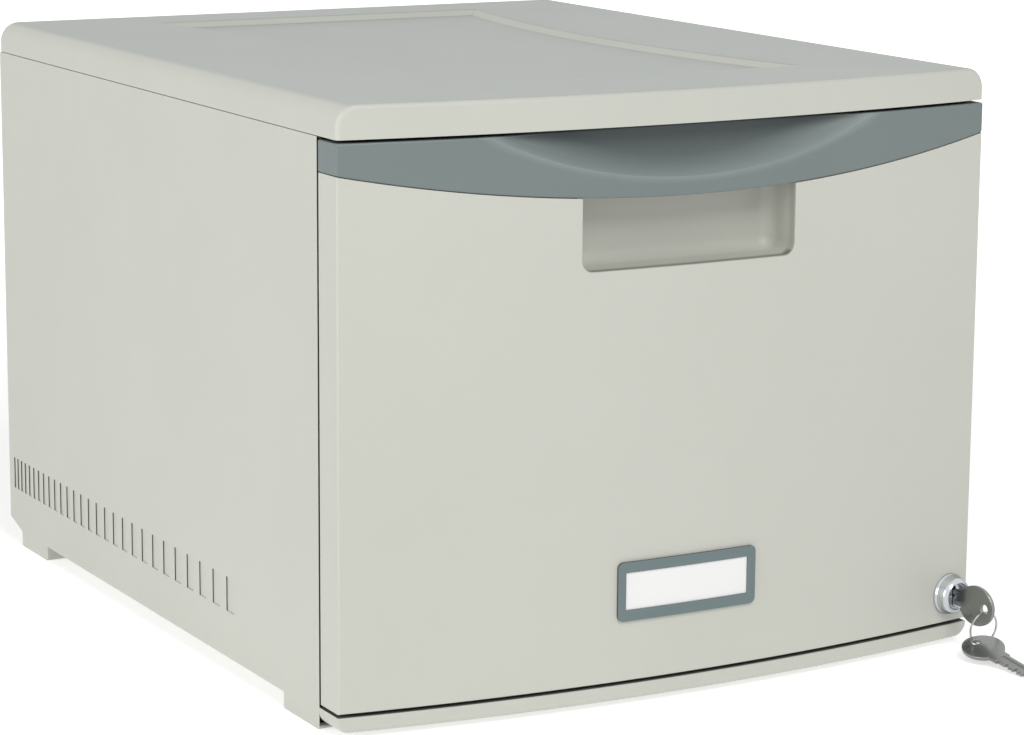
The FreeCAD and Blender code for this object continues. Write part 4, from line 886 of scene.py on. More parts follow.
# ------------------------------------------------------------------ the case
@dataclass
class Case:
    """The cap, the side, back and bottom panels.

    Attributes:
        kit: the frame and the finishes.
        bow: the bow of the cap's front face.
        side_radius: rounding of the cap's side edges.
        end_radius: rounding of the cap's front and back edges.
        wall: wall thickness.
        cap_edge: rounding of the cap's other edges.
        seam_gap: groove that the cap leaves above the panels.
        tray_depth: depth of the tray.
        tray_slope: run of the tray's walls.
        tray_front: tray behind the bowed face.
        tray_back: tray in front of the cap's back.
        tray_half: half width of the tray at its corners.
        tray_waist: how far the tray's sides curve in.
        side_edge: rounding of the side panels' edges.
        back_edge: rounding of the back panel's edges.
        base_edge: rounding of the base's edges.
        skin: how deep the side's outer skin is, whose front rim stays square.
        rim_taper: how far the rest of that rim falls back.
        rim_shade: how far behind the rim's edge its faces take painted shade.
        bars_low: height above which the bars stand.
        bars_high: height below which the bars end.
        bars_rear: margin between the bars and the case's back.
        bars_front: margin between the bars and the foremost line.
        chin_low: underside of the chin.
        chin_top: top of the chin.
        chin_rear: plane where the chin leaves the base.
        chin_edge: rounding of the chin's top edge.
        chin_radius: rounding of the chin's lower edge.
        chin_soft: rounding of the chin's remaining edges.
        chin_end: rounding of the chin's lower corners.
        chin_thin: least height of the chin, at its ends.
    """

    kit: Kit
    bow: Bow
    side_radius: float = 11 * MM
    end_radius: float = 2.5 * MM
    wall: float = 3 * MM
    cap_edge: float = 0.35 * MM
    seam_gap: float = 0.4 * MM
    tray_depth: float = 3.5 * MM
    tray_slope: float = 5 * MM
    tray_front: float = 62 * MM
    tray_back: float = 42 * MM
    tray_half: float = 106 * MM
    tray_waist: float = 20 * MM
    side_edge: float = 0.35 * MM
    back_edge: float = 0.3 * MM
    base_edge: float = 0.4 * MM
    skin: float = 1 * MM
    rim_taper: float = 2.5 * MM
    rim_shade: float = 2 * MM
    bars_low: float = 33 * MM
    bars_high: float = 52.5 * MM
    bars_rear: float = 4 * MM
    bars_front: float = 45 * MM
    chin_low: float = 3.2 * MM
    chin_top: float = 11.6 * MM
    chin_rear: float = -193.3 * MM
    chin_edge: float = 0.6 * MM
    chin_radius: float = 3 * MM
    chin_soft: float = 0.3 * MM
    chin_end: float = 6 * MM
    chin_thin: float = 1.5 * MM

    def build(self) -> None:
        """Build the cap and the chin and refine the panels."""
        self.cap()
        self.base()
        self.chin()
        for side in ("left", "right"):
            panel = self.kit.refine(f"{side}_side", f"{side}_side_panel", Slot.CASE,
                                    "cabinet", self.side_edge)
            self.shade_bars(panel)
            self.taper_rim(panel)
        self.kit.refine("back", "back_panel", Slot.CASE, "cabinet", self.back_edge)

    def taper_rim(self, panel: bpy.types.Object) -> None:
        """Let the panel's front rim fall back inwards and paint shade on it behind its edge.

        Args:
            panel: a side panel.
        """
        points = read(panel.data.vertices, "co")
        rim = points[:, 1] < self.chin_rear + HAIR
        rim &= np.abs(points[:, 0]) < self.bow.half - self.skin
        points[rim, 1] += self.rim_taper
        panel.data.vertices.foreach_set("co", points.ravel())
        panel.data.update()
        # Painted shade on the rim behind its edge, which darkens the seam beside the drawer
        # front.
        self.kit.paint_shade(panel, PaintedShade.SOFT_SHADE, lambda middle, normal: (
            (normal[:, 1] < -0.5) & (middle[:, 1] < self.chin_rear + self.rim_shade)
            & (middle[:, 2] > self.chin_top)))

    def shade_bars(self, panel: bpy.types.Object) -> None:
        """Darken the bars' narrow upright walls with painted shade, which draws a dark line at
        each bar.

        Args:
            panel: a side panel.
        """
        low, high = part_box("top_panel")
        self.kit.paint_shade(panel, PaintedShade.DEEP_SHADE, lambda middle, normal: (
            (np.abs(middle[:, 0]) > high.x - self.skin) & (np.abs(normal[:, 1]) > 0.9)
            & (middle[:, 2] > self.bars_low) & (middle[:, 2] < self.bars_high)
            & (middle[:, 1] > low.y + self.bars_front)
            & (middle[:, 1] < high.y - self.bars_rear)))

    def cap(self) -> None:
        """Build the cap as one grid: front face, roundings, top with its tray, back face.

        Columns run from the left seam up the skirt, round the side edge, over the top and
        down to the right seam. Rows run from front to back. A point on the top is a blend
        of stops across, which follow the tray's waisted sides, and of stops along, which
        follow the bow in front and the straight back. The tray's depth is the smaller of
        its two ramps. End rows shrink the outline along its normals by r (1 - cos a).
        """
        low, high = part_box("top_panel")
        seam, top, back, half = low.z + self.seam_gap, high.z, high.y, high.x
        flat, radius = half - self.side_radius, self.end_radius
        # Stops across: edge of the flat, tray's edge, tray's floor, middle, and so on.
        across = join(spaced(-1.0, 0.0, 1.0, step=0.2), spaced(1.0, 3.0, step=0.12))
        across = np.concatenate([across, (6.0 - across)[::-1][1:]])
        share_across = shares(across, (-1, 0, 1, 3, 5, 6, 7)).T
        # Stops along: front rounding, tray's edge, tray's floor, and the same behind.
        along = join(spaced(-1.0, 0.0, step=0.1), spaced(0.0, 1.0, step=0.2),
                     spaced(1.0, 4.0, step=0.06), spaced(4.0, 5.0, step=0.2),
                     spaced(5.0, 6.0, step=0.1))
        turn = arc(0, 90, 6)[:-1]
        none = np.zeros(len(along))
        shrink = radius * np.concatenate([1 - np.sin(turn), none, 1 - np.sin(turn[::-1])])
        pull = radius * np.concatenate([-np.cos(turn), none, np.cos(turn[::-1])])
        along = np.concatenate([np.full(len(turn), -1.0), along, np.full(len(turn), 6.0)])
        share_along = shares(along, (-1, 0, 1, 4, 5, 6))
        starts = np.array([radius, self.tray_front, self.tray_front + self.tray_slope])
        ends = back - np.array([self.tray_back + self.tray_slope, self.tray_back, radius])

        middle = share_along @ np.concatenate([self.bow.crest + starts, ends])
        run = ends[1] - (self.bow.crest + self.tray_front)
        bend = np.clip(2 * (middle - ends[1] + run / 2) / run, -1, 1)
        side = self.tray_half - self.tray_waist * (1 - bend**2)
        wide = np.full(len(along), flat)
        inner = side - self.tray_slope
        x_top = np.stack([-wide, -side, -inner, 0 * wide, inner, side, wide]).T @ share_across
        ramp_across = np.clip(np.minimum(across, 6 - across), 0, 1)[None, :]
        ramp_along = np.clip(np.minimum(along, 5 - along), 0, 1)[:, None]
        z_top = top - self.tray_depth * np.minimum(ramp_across, ramp_along)

        skirt = np.linspace(seam, top - self.side_radius, 5)[:-1]
        lean = arc(90, 0, 12)[:-1]
        x_side = np.concatenate([np.full(len(skirt), half),
                                 flat + self.side_radius * np.sin(lean)])
        z_side = np.concatenate([skirt, top - self.side_radius * (1 - np.cos(lean))])
        normal = np.concatenate([np.full(len(skirt), math.pi / 2), lean])
        tilt = np.concatenate([-normal, np.zeros(len(across)), normal[::-1]])
        count = (len(along), 1)
        x = np.hstack([np.tile(-x_side, count), x_top, np.tile(x_side[::-1], count)])
        z = np.hstack([np.tile(z_side, count), z_top, np.tile(z_side[::-1], count)])
        x = x - shrink[:, None] * np.sin(tilt)
        z = z - shrink[:, None] * np.cos(tilt)
        front = self.bow.held(x)
        lines = [front + start for start in starts] + [np.full_like(x, end) for end in ends]
        y = sum(share[:, None] * line for share, line in zip(share_along.T, lines))
        grid = np.stack([x, y + pull[:, None], z], axis=-1)

        front_face = self._end_face(grid[0], seam, True)[::-1]
        back_face = self._end_face(grid[-1], seam, False)
        item = surface("cap", np.concatenate([front_face, grid, back_face]))
        clean(item, MERGE)
        thicken(item, self.wall, (0, 0, seam))
        round_edges(item, self.cap_edge, angle=60)
        self.kit.dress(item, Slot.CASE, "cabinet", "top_panel")

    def _end_face(self, row: np.ndarray, seam: float, bowed: bool) -> np.ndarray:
        """Rows that close an end of the cap, from its outline down to the seam.

        Args:
            row: the outline's points.
            seam: height of the straight lower edge.
            bowed: whether the face follows the bow.

        Returns:
            Grid of the face, without the outline itself.
        """
        share = np.linspace(0, 1, 6)[1:, None]
        spread = np.linspace(row[0, 0], row[-1, 0], len(row))
        x = row[:, 0] * (1 - share) + spread * share
        z = row[:, 2] * (1 - share) + seam * share
        y = self.bow.face(x) if bowed else np.full_like(x, row[0, 1])
        return np.stack([x, y, z], axis=-1)

    def base(self) -> None:
        """Refine the base and cut it off where the chin begins."""
        base = self.kit.refine("base", "bottom_panel", Slot.CASE, "cabinet", self.base_edge)
        with opened(base.data) as work:
            bmesh.ops.bisect_plane(
                work, geom=work.verts[:] + work.edges[:] + work.faces[:], dist=1e-7,
                plane_co=(0, self.chin_rear, 0), plane_no=(0, -1, 0), clear_outer=True)
            bmesh.ops.holes_fill(work, edges=[e for e in work.edges if e.is_boundary])
            bmesh.ops.recalc_face_normals(work, faces=work.faces)

    def chin(self) -> None:
        """Build the chin on the base: a profile carried along the bow, with round ends.

        The lower edge lifts at both ends along a circle of the end radius, and each
        column's profile goes over the top edge, down the face and round the lower edge.
        """
        half, end, top, edge = self.bow.half, self.chin_end, self.chin_top, self.chin_edge
        bend = arc(0, 90, 8)
        x = join(-half + end * (1 - np.cos(bend)),
                 np.linspace(-half + end, half - end, 121),
                 half - end + end * np.sin(bend))
        over = np.clip(np.abs(x) - half + end, 0, end)
        low = self.chin_low + end - np.sqrt(np.clip(end**2 - over**2, 0, None))
        low = np.minimum(low, top - self.chin_thin)
        small = np.minimum(self.chin_radius, (top - low) / 2)
        face = self.bow.face(x)
        rear = np.full_like(x, self.chin_rear)
        rows = [(rear, np.full_like(x, top))]
        for angle in arc(0, 90, 4):
            rows.append((face + edge * (1 - math.sin(angle)),
                         top - edge * (1 - math.cos(angle)) + 0 * x))
        for angle in arc(0, 90, 8):
            rows.append((face + small * (1 - math.cos(angle)),
                         low + small * (1 - math.sin(angle))))
        rows.append((rear, low))
        grid = np.stack([np.stack([x, y, z], axis=-1) for y, z in rows], axis=1)
        item = surface("chin", grid, ring_columns=True, fans=True)
        round_edges(item, self.chin_soft, angle=60)
        self.kit.dress(item, Slot.CASE, "cabinet")
        # Painted shade on the chin's top, which darkens the gap under the drawer front.
        self.kit.paint_shade(item, PaintedShade.SOFT_SHADE, lambda middle, normal: (
            (normal[:, 2] > 0.995) & (middle[:, 2] > top - HAIR)))


# --------------------------------------------------------------- the drawer
@dataclass
class DrawerFront:
    """The drawer front with its hand pocket, the handle band and the label holder.

    Attributes:
        kit: the frame and the finishes.
        bow: the bow of the front face.
        bottom: lower edge of the front.
        top: upper edge of the band.
        rear: plane behind the front's flanges.
        wall: wall thickness of the front.
        edge: rounding of the front's outline.
        rear_edge: rounding of the edges behind.
        seam: groove between the front and the band.
        slack: play between the front's flanges and the case's width.
        knee: how far from its lower corners the outline's side and floor columns meet.
        columns: columns down a side, round a corner and along half of the floor.
        pocket_half: half width of the hand pocket.
        pocket_bottom: floor of the pocket.
        pocket_top: roof of the pocket.
        pocket_rear: rear wall of the pocket.
        pocket_corner: rounding of the pocket's outline.
        pocket_blend: rounding between the pocket's walls and its rear wall.
        lip: rounding of the pocket's lip.
        band_middle: lower edge of the band in the middle.
        band_rise: how far that edge rises towards the sides.
        band_edge: rounding of the band's edges.
        band_wall: wall thickness of the band.
        grip: thickness of the band over the pocket.
        fold: thickness of the band's lower edge beside the pocket.
        scoop_edge: lowest point of the scoop's rim.
        scoop_depth: depth of the scoop.
        scoop_tube: radius of the scoop's round section.
        scoop_sweep: radius of the ring that the section follows.
        scoop_soft: rounding of the scoop's rim.
        rim_highlight: how far from the scoop's rim the band is worn light.
        label_middle: height of the label's middle.
        label_width: width of the label frame.
        label_height: height of the label frame.
        label_corner: rounding of the frame's corners.
        label_proud: how far the frame stands out.
        window_width: width of the frame's window.
        window_height: height of the frame's window.
        card_lap: how far the card reaches behind the frame.
        card_proud: how far the card's face stands out.
        card_wall: thickness of the card.
    """

    kit: Kit
    bow: Bow
    bottom: float = 13.4 * MM
    top: float = 292.6 * MM
    rear: float = -194.9 * MM
    wall: float = 3 * MM
    edge: float = 0.9 * MM
    rear_edge: float = 0.45 * MM
    seam: float = 0.25 * MM
    slack: float = 0.1 * MM
    knee: float = 70 * MM
    columns: tuple[int, int, int] = (10, 8, 24)
    pocket_half: float = 62 * MM
    pocket_bottom: float = 223.6 * MM
    pocket_top: float = 264.5 * MM
    pocket_rear: float = -205.5 * MM
    pocket_corner: float = 6 * MM
    pocket_blend: float = 7 * MM
    lip: float = 0.8 * MM
    band_middle: float = 258.4 * MM
    band_rise: float = 18.6 * MM
    band_edge: float = 1 * MM
    band_wall: float = 1.6 * MM
    grip: float = 4 * MM
    fold: float = 2.2 * MM
    scoop_edge: float = 267.9 * MM
    scoop_depth: float = 12 * MM
    scoop_tube: float = 30 * MM
    scoop_sweep: float = 317.8 * MM
    scoop_soft: float = 0.12 * MM
    # rim_highlight: how far from the scoop's rim the band takes a painted highlight.
    rim_highlight: float = 3.5 * MM
    label_middle: float = 60.1 * MM
    label_width: float = 81.4 * MM
    label_height: float = 30.4 * MM
    label_corner: float = 3 * MM
    label_proud: float = 1.5 * MM
    window_width: float = 72 * MM
    window_height: float = 19.3 * MM
    card_lap: float = 1.5 * MM
    card_proud: float = 0.4 * MM
    card_wall: float = 0.35 * MM

    def build(self) -> None:
        """Build every piece of the front."""
        self.front()
        self.band()
        self.label()

    def band_line(self, x: np.ndarray | float) -> np.ndarray:
        """Height of the band's lower edge, an arc that rises towards the sides."""
        radius = (self.bow.half**2 + self.band_rise**2) / (2 * self.band_rise)
        return self.band_middle + radius - np.sqrt(radius**2 - np.asarray(x) ** 2)

    def shell_line(self, x: np.ndarray | float) -> np.ndarray:
        """Height of the shell's upper edge, a fine seam below the band."""
        return self.band_line(x) - self.seam

    def _pocket_path(self, inset: float, end: float) -> np.ndarray:
        """The pocket's outline, open at the top.

        Args:
            inset: how far the outline is shrunk.
            end: height of its open ends.

        Returns:
            Array of (x, z) points.
        """
        straight, corner, across = self.columns
        half, low = self.pocket_half - inset, self.pocket_bottom + inset
        radius = max(self.pocket_corner - 0.6 * inset, 0.6 * MM)
        turn = arc(180, 270, corner)
        bend = np.array([-half + radius, low + radius]) + radius * np.stack(
            [np.cos(turn), np.sin(turn)], axis=1)
        return mirrored(join(
            np.linspace((-half, end), (-half, low + radius), straight + 1), bend,
            np.linspace((-half + radius, low), (0, low), across + 1)))

    def _outer_path(self, inset: float) -> np.ndarray:
        """The front's outline, open at the top, in step with the pocket's outline.

        Args:
            inset: how far the outline is shrunk.

        Returns:
            Array of (x, z) points.
        """
        straight, corner, across = self.columns
        left, low = -(self.bow.half - inset - self.slack), self.bottom + inset
        end = float(self.shell_line(self.bow.half))
        knee_z, knee_x = self.bottom + self.knee, -(self.bow.half - self.knee)
        return mirrored(join(
            np.linspace((left, end), (left, knee_z), straight + 1),
            np.linspace((left, knee_z), (left, low), corner // 2 + 1),
            np.linspace((left, low), (knee_x, low), corner // 2 + 1),
            np.linspace((knee_x, low), (0, low), across + 1)))

    def _on_bow(self, path: np.ndarray, depth: np.ndarray | float) -> np.ndarray:
        """Put (x, z) points behind the bow by a depth."""
        x, z = path.T
        return np.stack([x, self.bow.held(x) + depth, z], axis=1)

    def _in_pocket(self, path: np.ndarray, before: float) -> np.ndarray:
        """Put (x, z) points in front of the pocket's rear wall."""
        x, z = path.T
        return np.stack([x, np.full(len(x), self.pocket_rear - before), z], axis=1)

    def front(self) -> None:
        """Build the front's skin in one grid and give it its wall.

        Columns follow the open outline from the upper left corner round to the upper
        right one. Rows start in the middle of the pocket's rear wall, come out over its
        blend, side and lip, cross the bowed face to the outline, and turn back along the
        flange. On the face the rows blend from the pocket's outline to the front's.
        """
        blend, lip, edge = self.pocket_blend, self.lip, self.edge
        rim = self._pocket_path(blend, self.pocket_top)
        centre = np.array([0.0, self.pocket_top])
        rows = [self._in_pocket(centre + (rim - centre) * share, 0.0)
                for share in (0.02, 1 / 3, 2 / 3)]
        for angle in arc(90, 0, 8):
            path = self._pocket_path(blend * (1 - math.cos(angle)), self.pocket_top)
            rows.append(self._in_pocket(path, blend * (1 - math.sin(angle))))
        path = self._pocket_path(0.0, self.pocket_top)
        deep = self.pocket_rear - blend - self.bow.face(path[:, 0])
        for share in (0.8, 0.6, 0.45, 0.32, 0.22, 0.12):
            rows.append(self._on_bow(path, deep * share))
        end = float(self.shell_line(self.pocket_half))
        for angle in arc(0, 90, 4):
            path = self._pocket_path(-lip * (1 - math.cos(angle)), end)
            rows.append(self._on_bow(path, lip * (1 - math.sin(angle))))
        inner, outer = self._pocket_path(-lip, end), self._outer_path(edge)
        steps = np.arange(len(inner))
        fade = np.clip(1 - steps / self.columns[0], 0, 1)
        fade = np.maximum(fade, fade[::-1])
        for share in np.linspace(0, 1, 26)[1:]:
            path = inner * (1 - share) + outer * share
            lift = self.shell_line(path[[0, -1], 0]) - path[[0, -1], 1]
            path[:, 1] += fade * np.where(steps < len(steps) // 2, *lift)
            rows.append(self._on_bow(path, 0.0))
        for angle in arc(90, 0, 4)[1:]:
            path = self._outer_path(edge * (1 - math.cos(angle)))
            rows.append(self._on_bow(path, edge * (1 - math.sin(angle))))
        path = self._outer_path(0.0)
        rear = self.rear - self.bow.face(path[:, 0])
        for share in (0.33, 0.66, 1.0):
            rows.append(self._on_bow(path, edge + (rear - edge) * share))
        item = surface("front_shell", np.array(rows))
        thicken(item, self.wall, (0, self.rear, (self.bottom + self.pocket_bottom) / 2))
        round_edges(item, self.rear_edge, angle=60)
        self.kit.dress(item, Slot.FRONT, "drawer", "drawer_front")
        # Painted shade on the front's lower faces, which darkens the gap above the chin.
        self.kit.paint_shade(item, PaintedShade.DEEP_SHADE, lambda middle, normal: (
            (np.abs(normal[:, 2]) > 0.98) & (middle[:, 2] < self.bottom + HAIR)))
        # Painted shade in the pocket, darkest just behind the lip.
        mark_hollow(item, self._pocket_shade)

    def _pocket_shade(self, x: np.ndarray, y: np.ndarray, z: np.ndarray) -> np.ndarray:
        """How much painted shade the pocket's floor and sides take: most just behind the lip.

        Args:
            x: places across.
            y: depths.
            z: heights.

        Returns:
            Share of the painted shade's colour.
        """
        first, darkest, reach = 0.5 * MM, 3 * MM, 4.5 * MM
        floor_height, on_sides = 2.5 * MM, 0.4
        depth = y - self.bow.held(x)
        near_lip = 1 - np.abs(depth - darkest) / reach
        floor = np.where(z < self.pocket_bottom + floor_height, 1, on_sides)
        inside = (depth > first) & (z > self.pocket_bottom - MERGE / 2)
        return near_lip * floor * (inside & (np.abs(x) < self.pocket_half + MERGE / 2))

    @property
    def scoop_hub(self) -> float:
        """Height of the axis that the scoop's ring goes round."""
        drop = math.sqrt(self.scoop_tube**2 - (self.scoop_tube - self.scoop_depth) ** 2)
        return self.scoop_edge + drop + self.scoop_sweep

    @property
    def scoop_core(self) -> float:
        """Depth (Y) of the middle of the scoop's round section."""
        return self.bow.crest + self.scoop_depth - self.scoop_tube

    def scoop(self, x: np.ndarray, z: np.ndarray | float) -> np.ndarray:
        """Depth of the scoop: a ring-shaped hollow about an axis across the front.

        The soft maximum of the hollow's depth and zero rounds the rim of the scoop.

        Args:
            x: places across.
            z: heights.

        Returns:
            How far the hollow lies behind the bow.
        """
        reach = np.hypot(x, z - self.scoop_hub) - self.scoop_sweep
        tube = np.sqrt(np.clip(self.scoop_tube**2 - reach**2, 0, None))
        depth = self.scoop_core + tube - self.bow.face(x)
        return (depth + np.sqrt(depth**2 + self.scoop_soft**2)) / 2

    def scoop_line(self, x: np.ndarray) -> np.ndarray:
        """Height of the scoop's rim on the face, where the hollow meets the bow.

        Args:
            x: places across.

        Returns:
            The heights.
        """
        forward = self.bow.face(x) - self.scoop_core
        tube = np.sqrt(np.clip(self.scoop_tube**2 - forward**2, 0, None))
        reach = self.scoop_sweep + tube
        return self.scoop_hub - np.sqrt(np.clip(reach**2 - x**2, 0, None))

    def _band_path(self) -> np.ndarray:
        """The band's way round the front: left flank, face and right flank.

        Returns:
            Rows of (x, y, inward x, inward y).
        """
        edge, half = self.band_edge, self.bow.half
        inner, split, side_step = half - edge, 0.1 * MM, 2.5 * MM
        left = join(spaced(-inner, -self.pocket_half - split, step=side_step),
                    np.array([-self.pocket_half - split, -self.pocket_half + split]),
                    spaced(-self.pocket_half + split, 0, step=side_step))
        x = np.concatenate([left, -left[::-1][1:]])
        face = np.stack([x, self.bow.face(x), 0 * x, 0 * x + 1], axis=1)
        corner = float(self.bow.face(half)) + edge
        turn = arc(0, 90, 5)[1:]
        bend = np.stack([inner + edge * np.sin(turn), corner - edge * np.cos(turn),
                         -np.sin(turn), np.cos(turn)], axis=1)
        y = spaced(corner, self.rear, step=5 * MM)[1:]
        flank = np.stack([0 * y + half, y, 0 * y - 1, 0 * y], axis=1)
        right = np.concatenate([bend, flank])
        return np.concatenate([right[::-1] * np.array([-1, 1, -1, 1]), face, right])

    def band(self) -> None:
        """Build the handle band: a plan path round the front, with a profile at each place.

        The profile runs from the rear of the top flange over the upper edge, down the
        scoop and the face, round the lower edge and up behind the grip to the pocket's roof.
        """
        path = self._band_path()
        edge, half, top = self.band_edge, self.bow.half, self.top
        x, y, _, inward_y = path.T
        on_front = inward_y > 0.999
        low = self.band_line(np.clip(x, -half, half))
        gripped = on_front & (np.abs(x) < self.pocket_half)
        x_front = np.where(on_front, x, 0)
        crease = np.where(on_front, self.scoop_line(x_front), top)
        above_low, below_top = 4 * MM, edge + 1.5 * MM
        crease = np.clip(crease, low + above_low, top - below_top)

        def across(z: np.ndarray | float) -> np.ndarray:
            """Depth of the band's face at the heights z, which is 0 on the flanks."""
            return np.where(on_front, self.scoop(x_front, z), 0.0)

        flange_start, hem_height, hem_depth = 3 * MM, 3 * MM, 0.5 * MM
        target = np.linspace(-half, half, len(x))
        rows = []
        for share in (1.0, 0.5):
            rows.append(np.stack([x * (1 - share) + target * share,
                                  (y + flange_start * inward_y) * (1 - share)
                                  + self.rear * share,
                                  np.full(len(x), top)], axis=1))
        for angle in arc(0, 90, 5)[:-1]:
            rows.append(beside(path, across(top - edge) + edge * (1 - math.sin(angle)),
                               top - edge * (1 - math.cos(angle))))
        near = 0.8 * MM
        heights = [(top - edge) * (1 - share) + (crease + near) * share
                   for share in np.linspace(0, 1, 13)[:-1]]
        heights += [crease + lift for lift in (near, 0.4 * MM, 0.15 * MM, 0.0, -0.15 * MM)]
        heights += [(crease - near) * (1 - share) + (low + edge) * share
                    for share in np.linspace(0, 1, 7)]
        rows += [beside(path, across(z), z) for z in heights]
        for angle in arc(0, 90, 5)[1:]:
            rows.append(beside(path, edge * (1 - math.cos(angle)),
                               low + edge * (1 - math.sin(angle))))
        under = np.where(gripped, self.grip, self.fold)
        roof = np.where(gripped, self.pocket_top, low + hem_height)
        deep = np.where(gripped, self.pocket_rear - y, under + hem_depth)
        rows += [beside(path, under, low), beside(path, under, roof),
                 beside(path, deep, roof)]
        item = surface("band", np.array(rows))
        thicken(item, self.band_wall, (0, self.rear, (self.band_middle + top) / 2))
        round_edges(item, 0)
        self.kit.dress(item, Slot.BAND, "drawer", "handle_band")
        # Painted shade on the band's top flange, which darkens the gap under the cap.
        self.kit.paint_shade(item, PaintedShade.SHADE, lambda middle, normal: (
            (np.abs(normal[:, 2]) > 0.98) & (middle[:, 2] > top - 0.02 * MM)))
        # Painted shade in the scoop and a painted highlight along its rim.
        mark_hollow(item, self._scoop_shade, -1.0)

    def _scoop_shade(self, x: np.ndarray, y: np.ndarray, z: np.ndarray) -> np.ndarray:
        """How much painted shade the scoop takes, and how much painted highlight its rim.

        Args:
            x: places across.
            y: depths.
            z: heights.

        Returns:
            Share of the painted shade's colour, below 0 along the rim for the painted
            highlight.
        """
        start, run, highlight, below, reach = 0.32, 0.42, 0.6, 4 * MM, 0.8
        sunk = ((y - self.bow.held(x)) / self.scoop_depth - start) / run
        rim = np.clip(1 - np.abs(z - self.scoop_line(x)) / self.rim_highlight, 0, 1)
        share = np.where(sunk > 0, sunk, -highlight * rim)
        near = (z > self.scoop_edge - below) & (np.abs(x) < reach * self.bow.half)
        return share * near

    def _rounded_rectangle(self, width: float, height: float, radius: float) -> np.ndarray:
        """A rounded rectangle about the label's middle.

        Args:
            width: its width.
            height: its height.
            radius: rounding of its corners.

        Returns:
            Array of (x, z) points, each corner's arc followed by the next side.
        """
        bends = []
        for quarter, corner in enumerate(((1, 1), (-1, 1), (-1, -1), (1, -1))):
            turn = arc(90 * quarter, 90 * quarter + 90, 6)
            hub = np.array(corner) * np.array([width / 2 - radius, height / 2 - radius])
            bends.append(hub + radius * np.stack([np.cos(turn), np.sin(turn)], axis=1))
        parts = []
        for bend, following in zip(bends, bends[1:] + bends[:1]):
            parts += [bend, np.linspace(bend[-1], following[0], 14)[1:-1]]
        return np.concatenate(parts) + np.array([0, self.label_middle])

    def label(self) -> None:
        """Build the label frame, a rounded section round the window, and its card.

        The section's points are (share of the border's width, depth, rounding).
        """
        border_x = (self.label_width - self.window_width) / 2
        border_z = (self.label_height - self.window_height) / 2
        proud, sunk = -self.label_proud, 0.05 * MM
        section = fillet_profile([
            (0.0, sunk, 0.0), (0.0, proud, 0.9 * MM), (0.72, proud, 0.06),
            (1.0, proud + 0.55 * MM, 0.3 * MM), (1.0, sunk, 0.0),
        ])
        rows = []
        for share, depth in section:
            width = self.label_width - 2 * border_x * share
            height = self.label_height - 2 * border_z * share
            radius = max(self.label_corner * (1 - share), 0.25 * MM)
            rows.append(self._on_bow(self._rounded_rectangle(width, height, radius), depth))
        item = surface("label_border", np.array(rows), ring_rows=True, ring_columns=True)
        round_edges(item, 0)
        self.kit.dress(item, Slot.LABEL_FRAME, "drawer", "label_frame")
        # Painted shade on the frame's walls beside the face, which draws dark lines round its
        # outline and window.
        self.kit.paint_shade(item, PaintedShade.DEEP_SHADE, lambda middle, normal: (
            middle[:, 1] - self.bow.face(middle[:, 0]) > -0.8 * MM))
        x = np.linspace(-1, 1, 21)[None, :] * (self.window_width / 2 + self.card_lap)
        z = np.linspace(-1, 1, 7)[:, None] * (self.window_height / 2 + self.card_lap)
        x, z = np.broadcast_arrays(x, z + self.label_middle)
        card = surface("card", np.stack([x, self.bow.face(x) - self.card_proud, z], axis=-1))
        thicken(card, self.card_wall, (0, self.rear, self.label_middle))
        round_edges(card, 0)
        self.kit.dress(card, Slot.CARD, "drawer", "label_card")


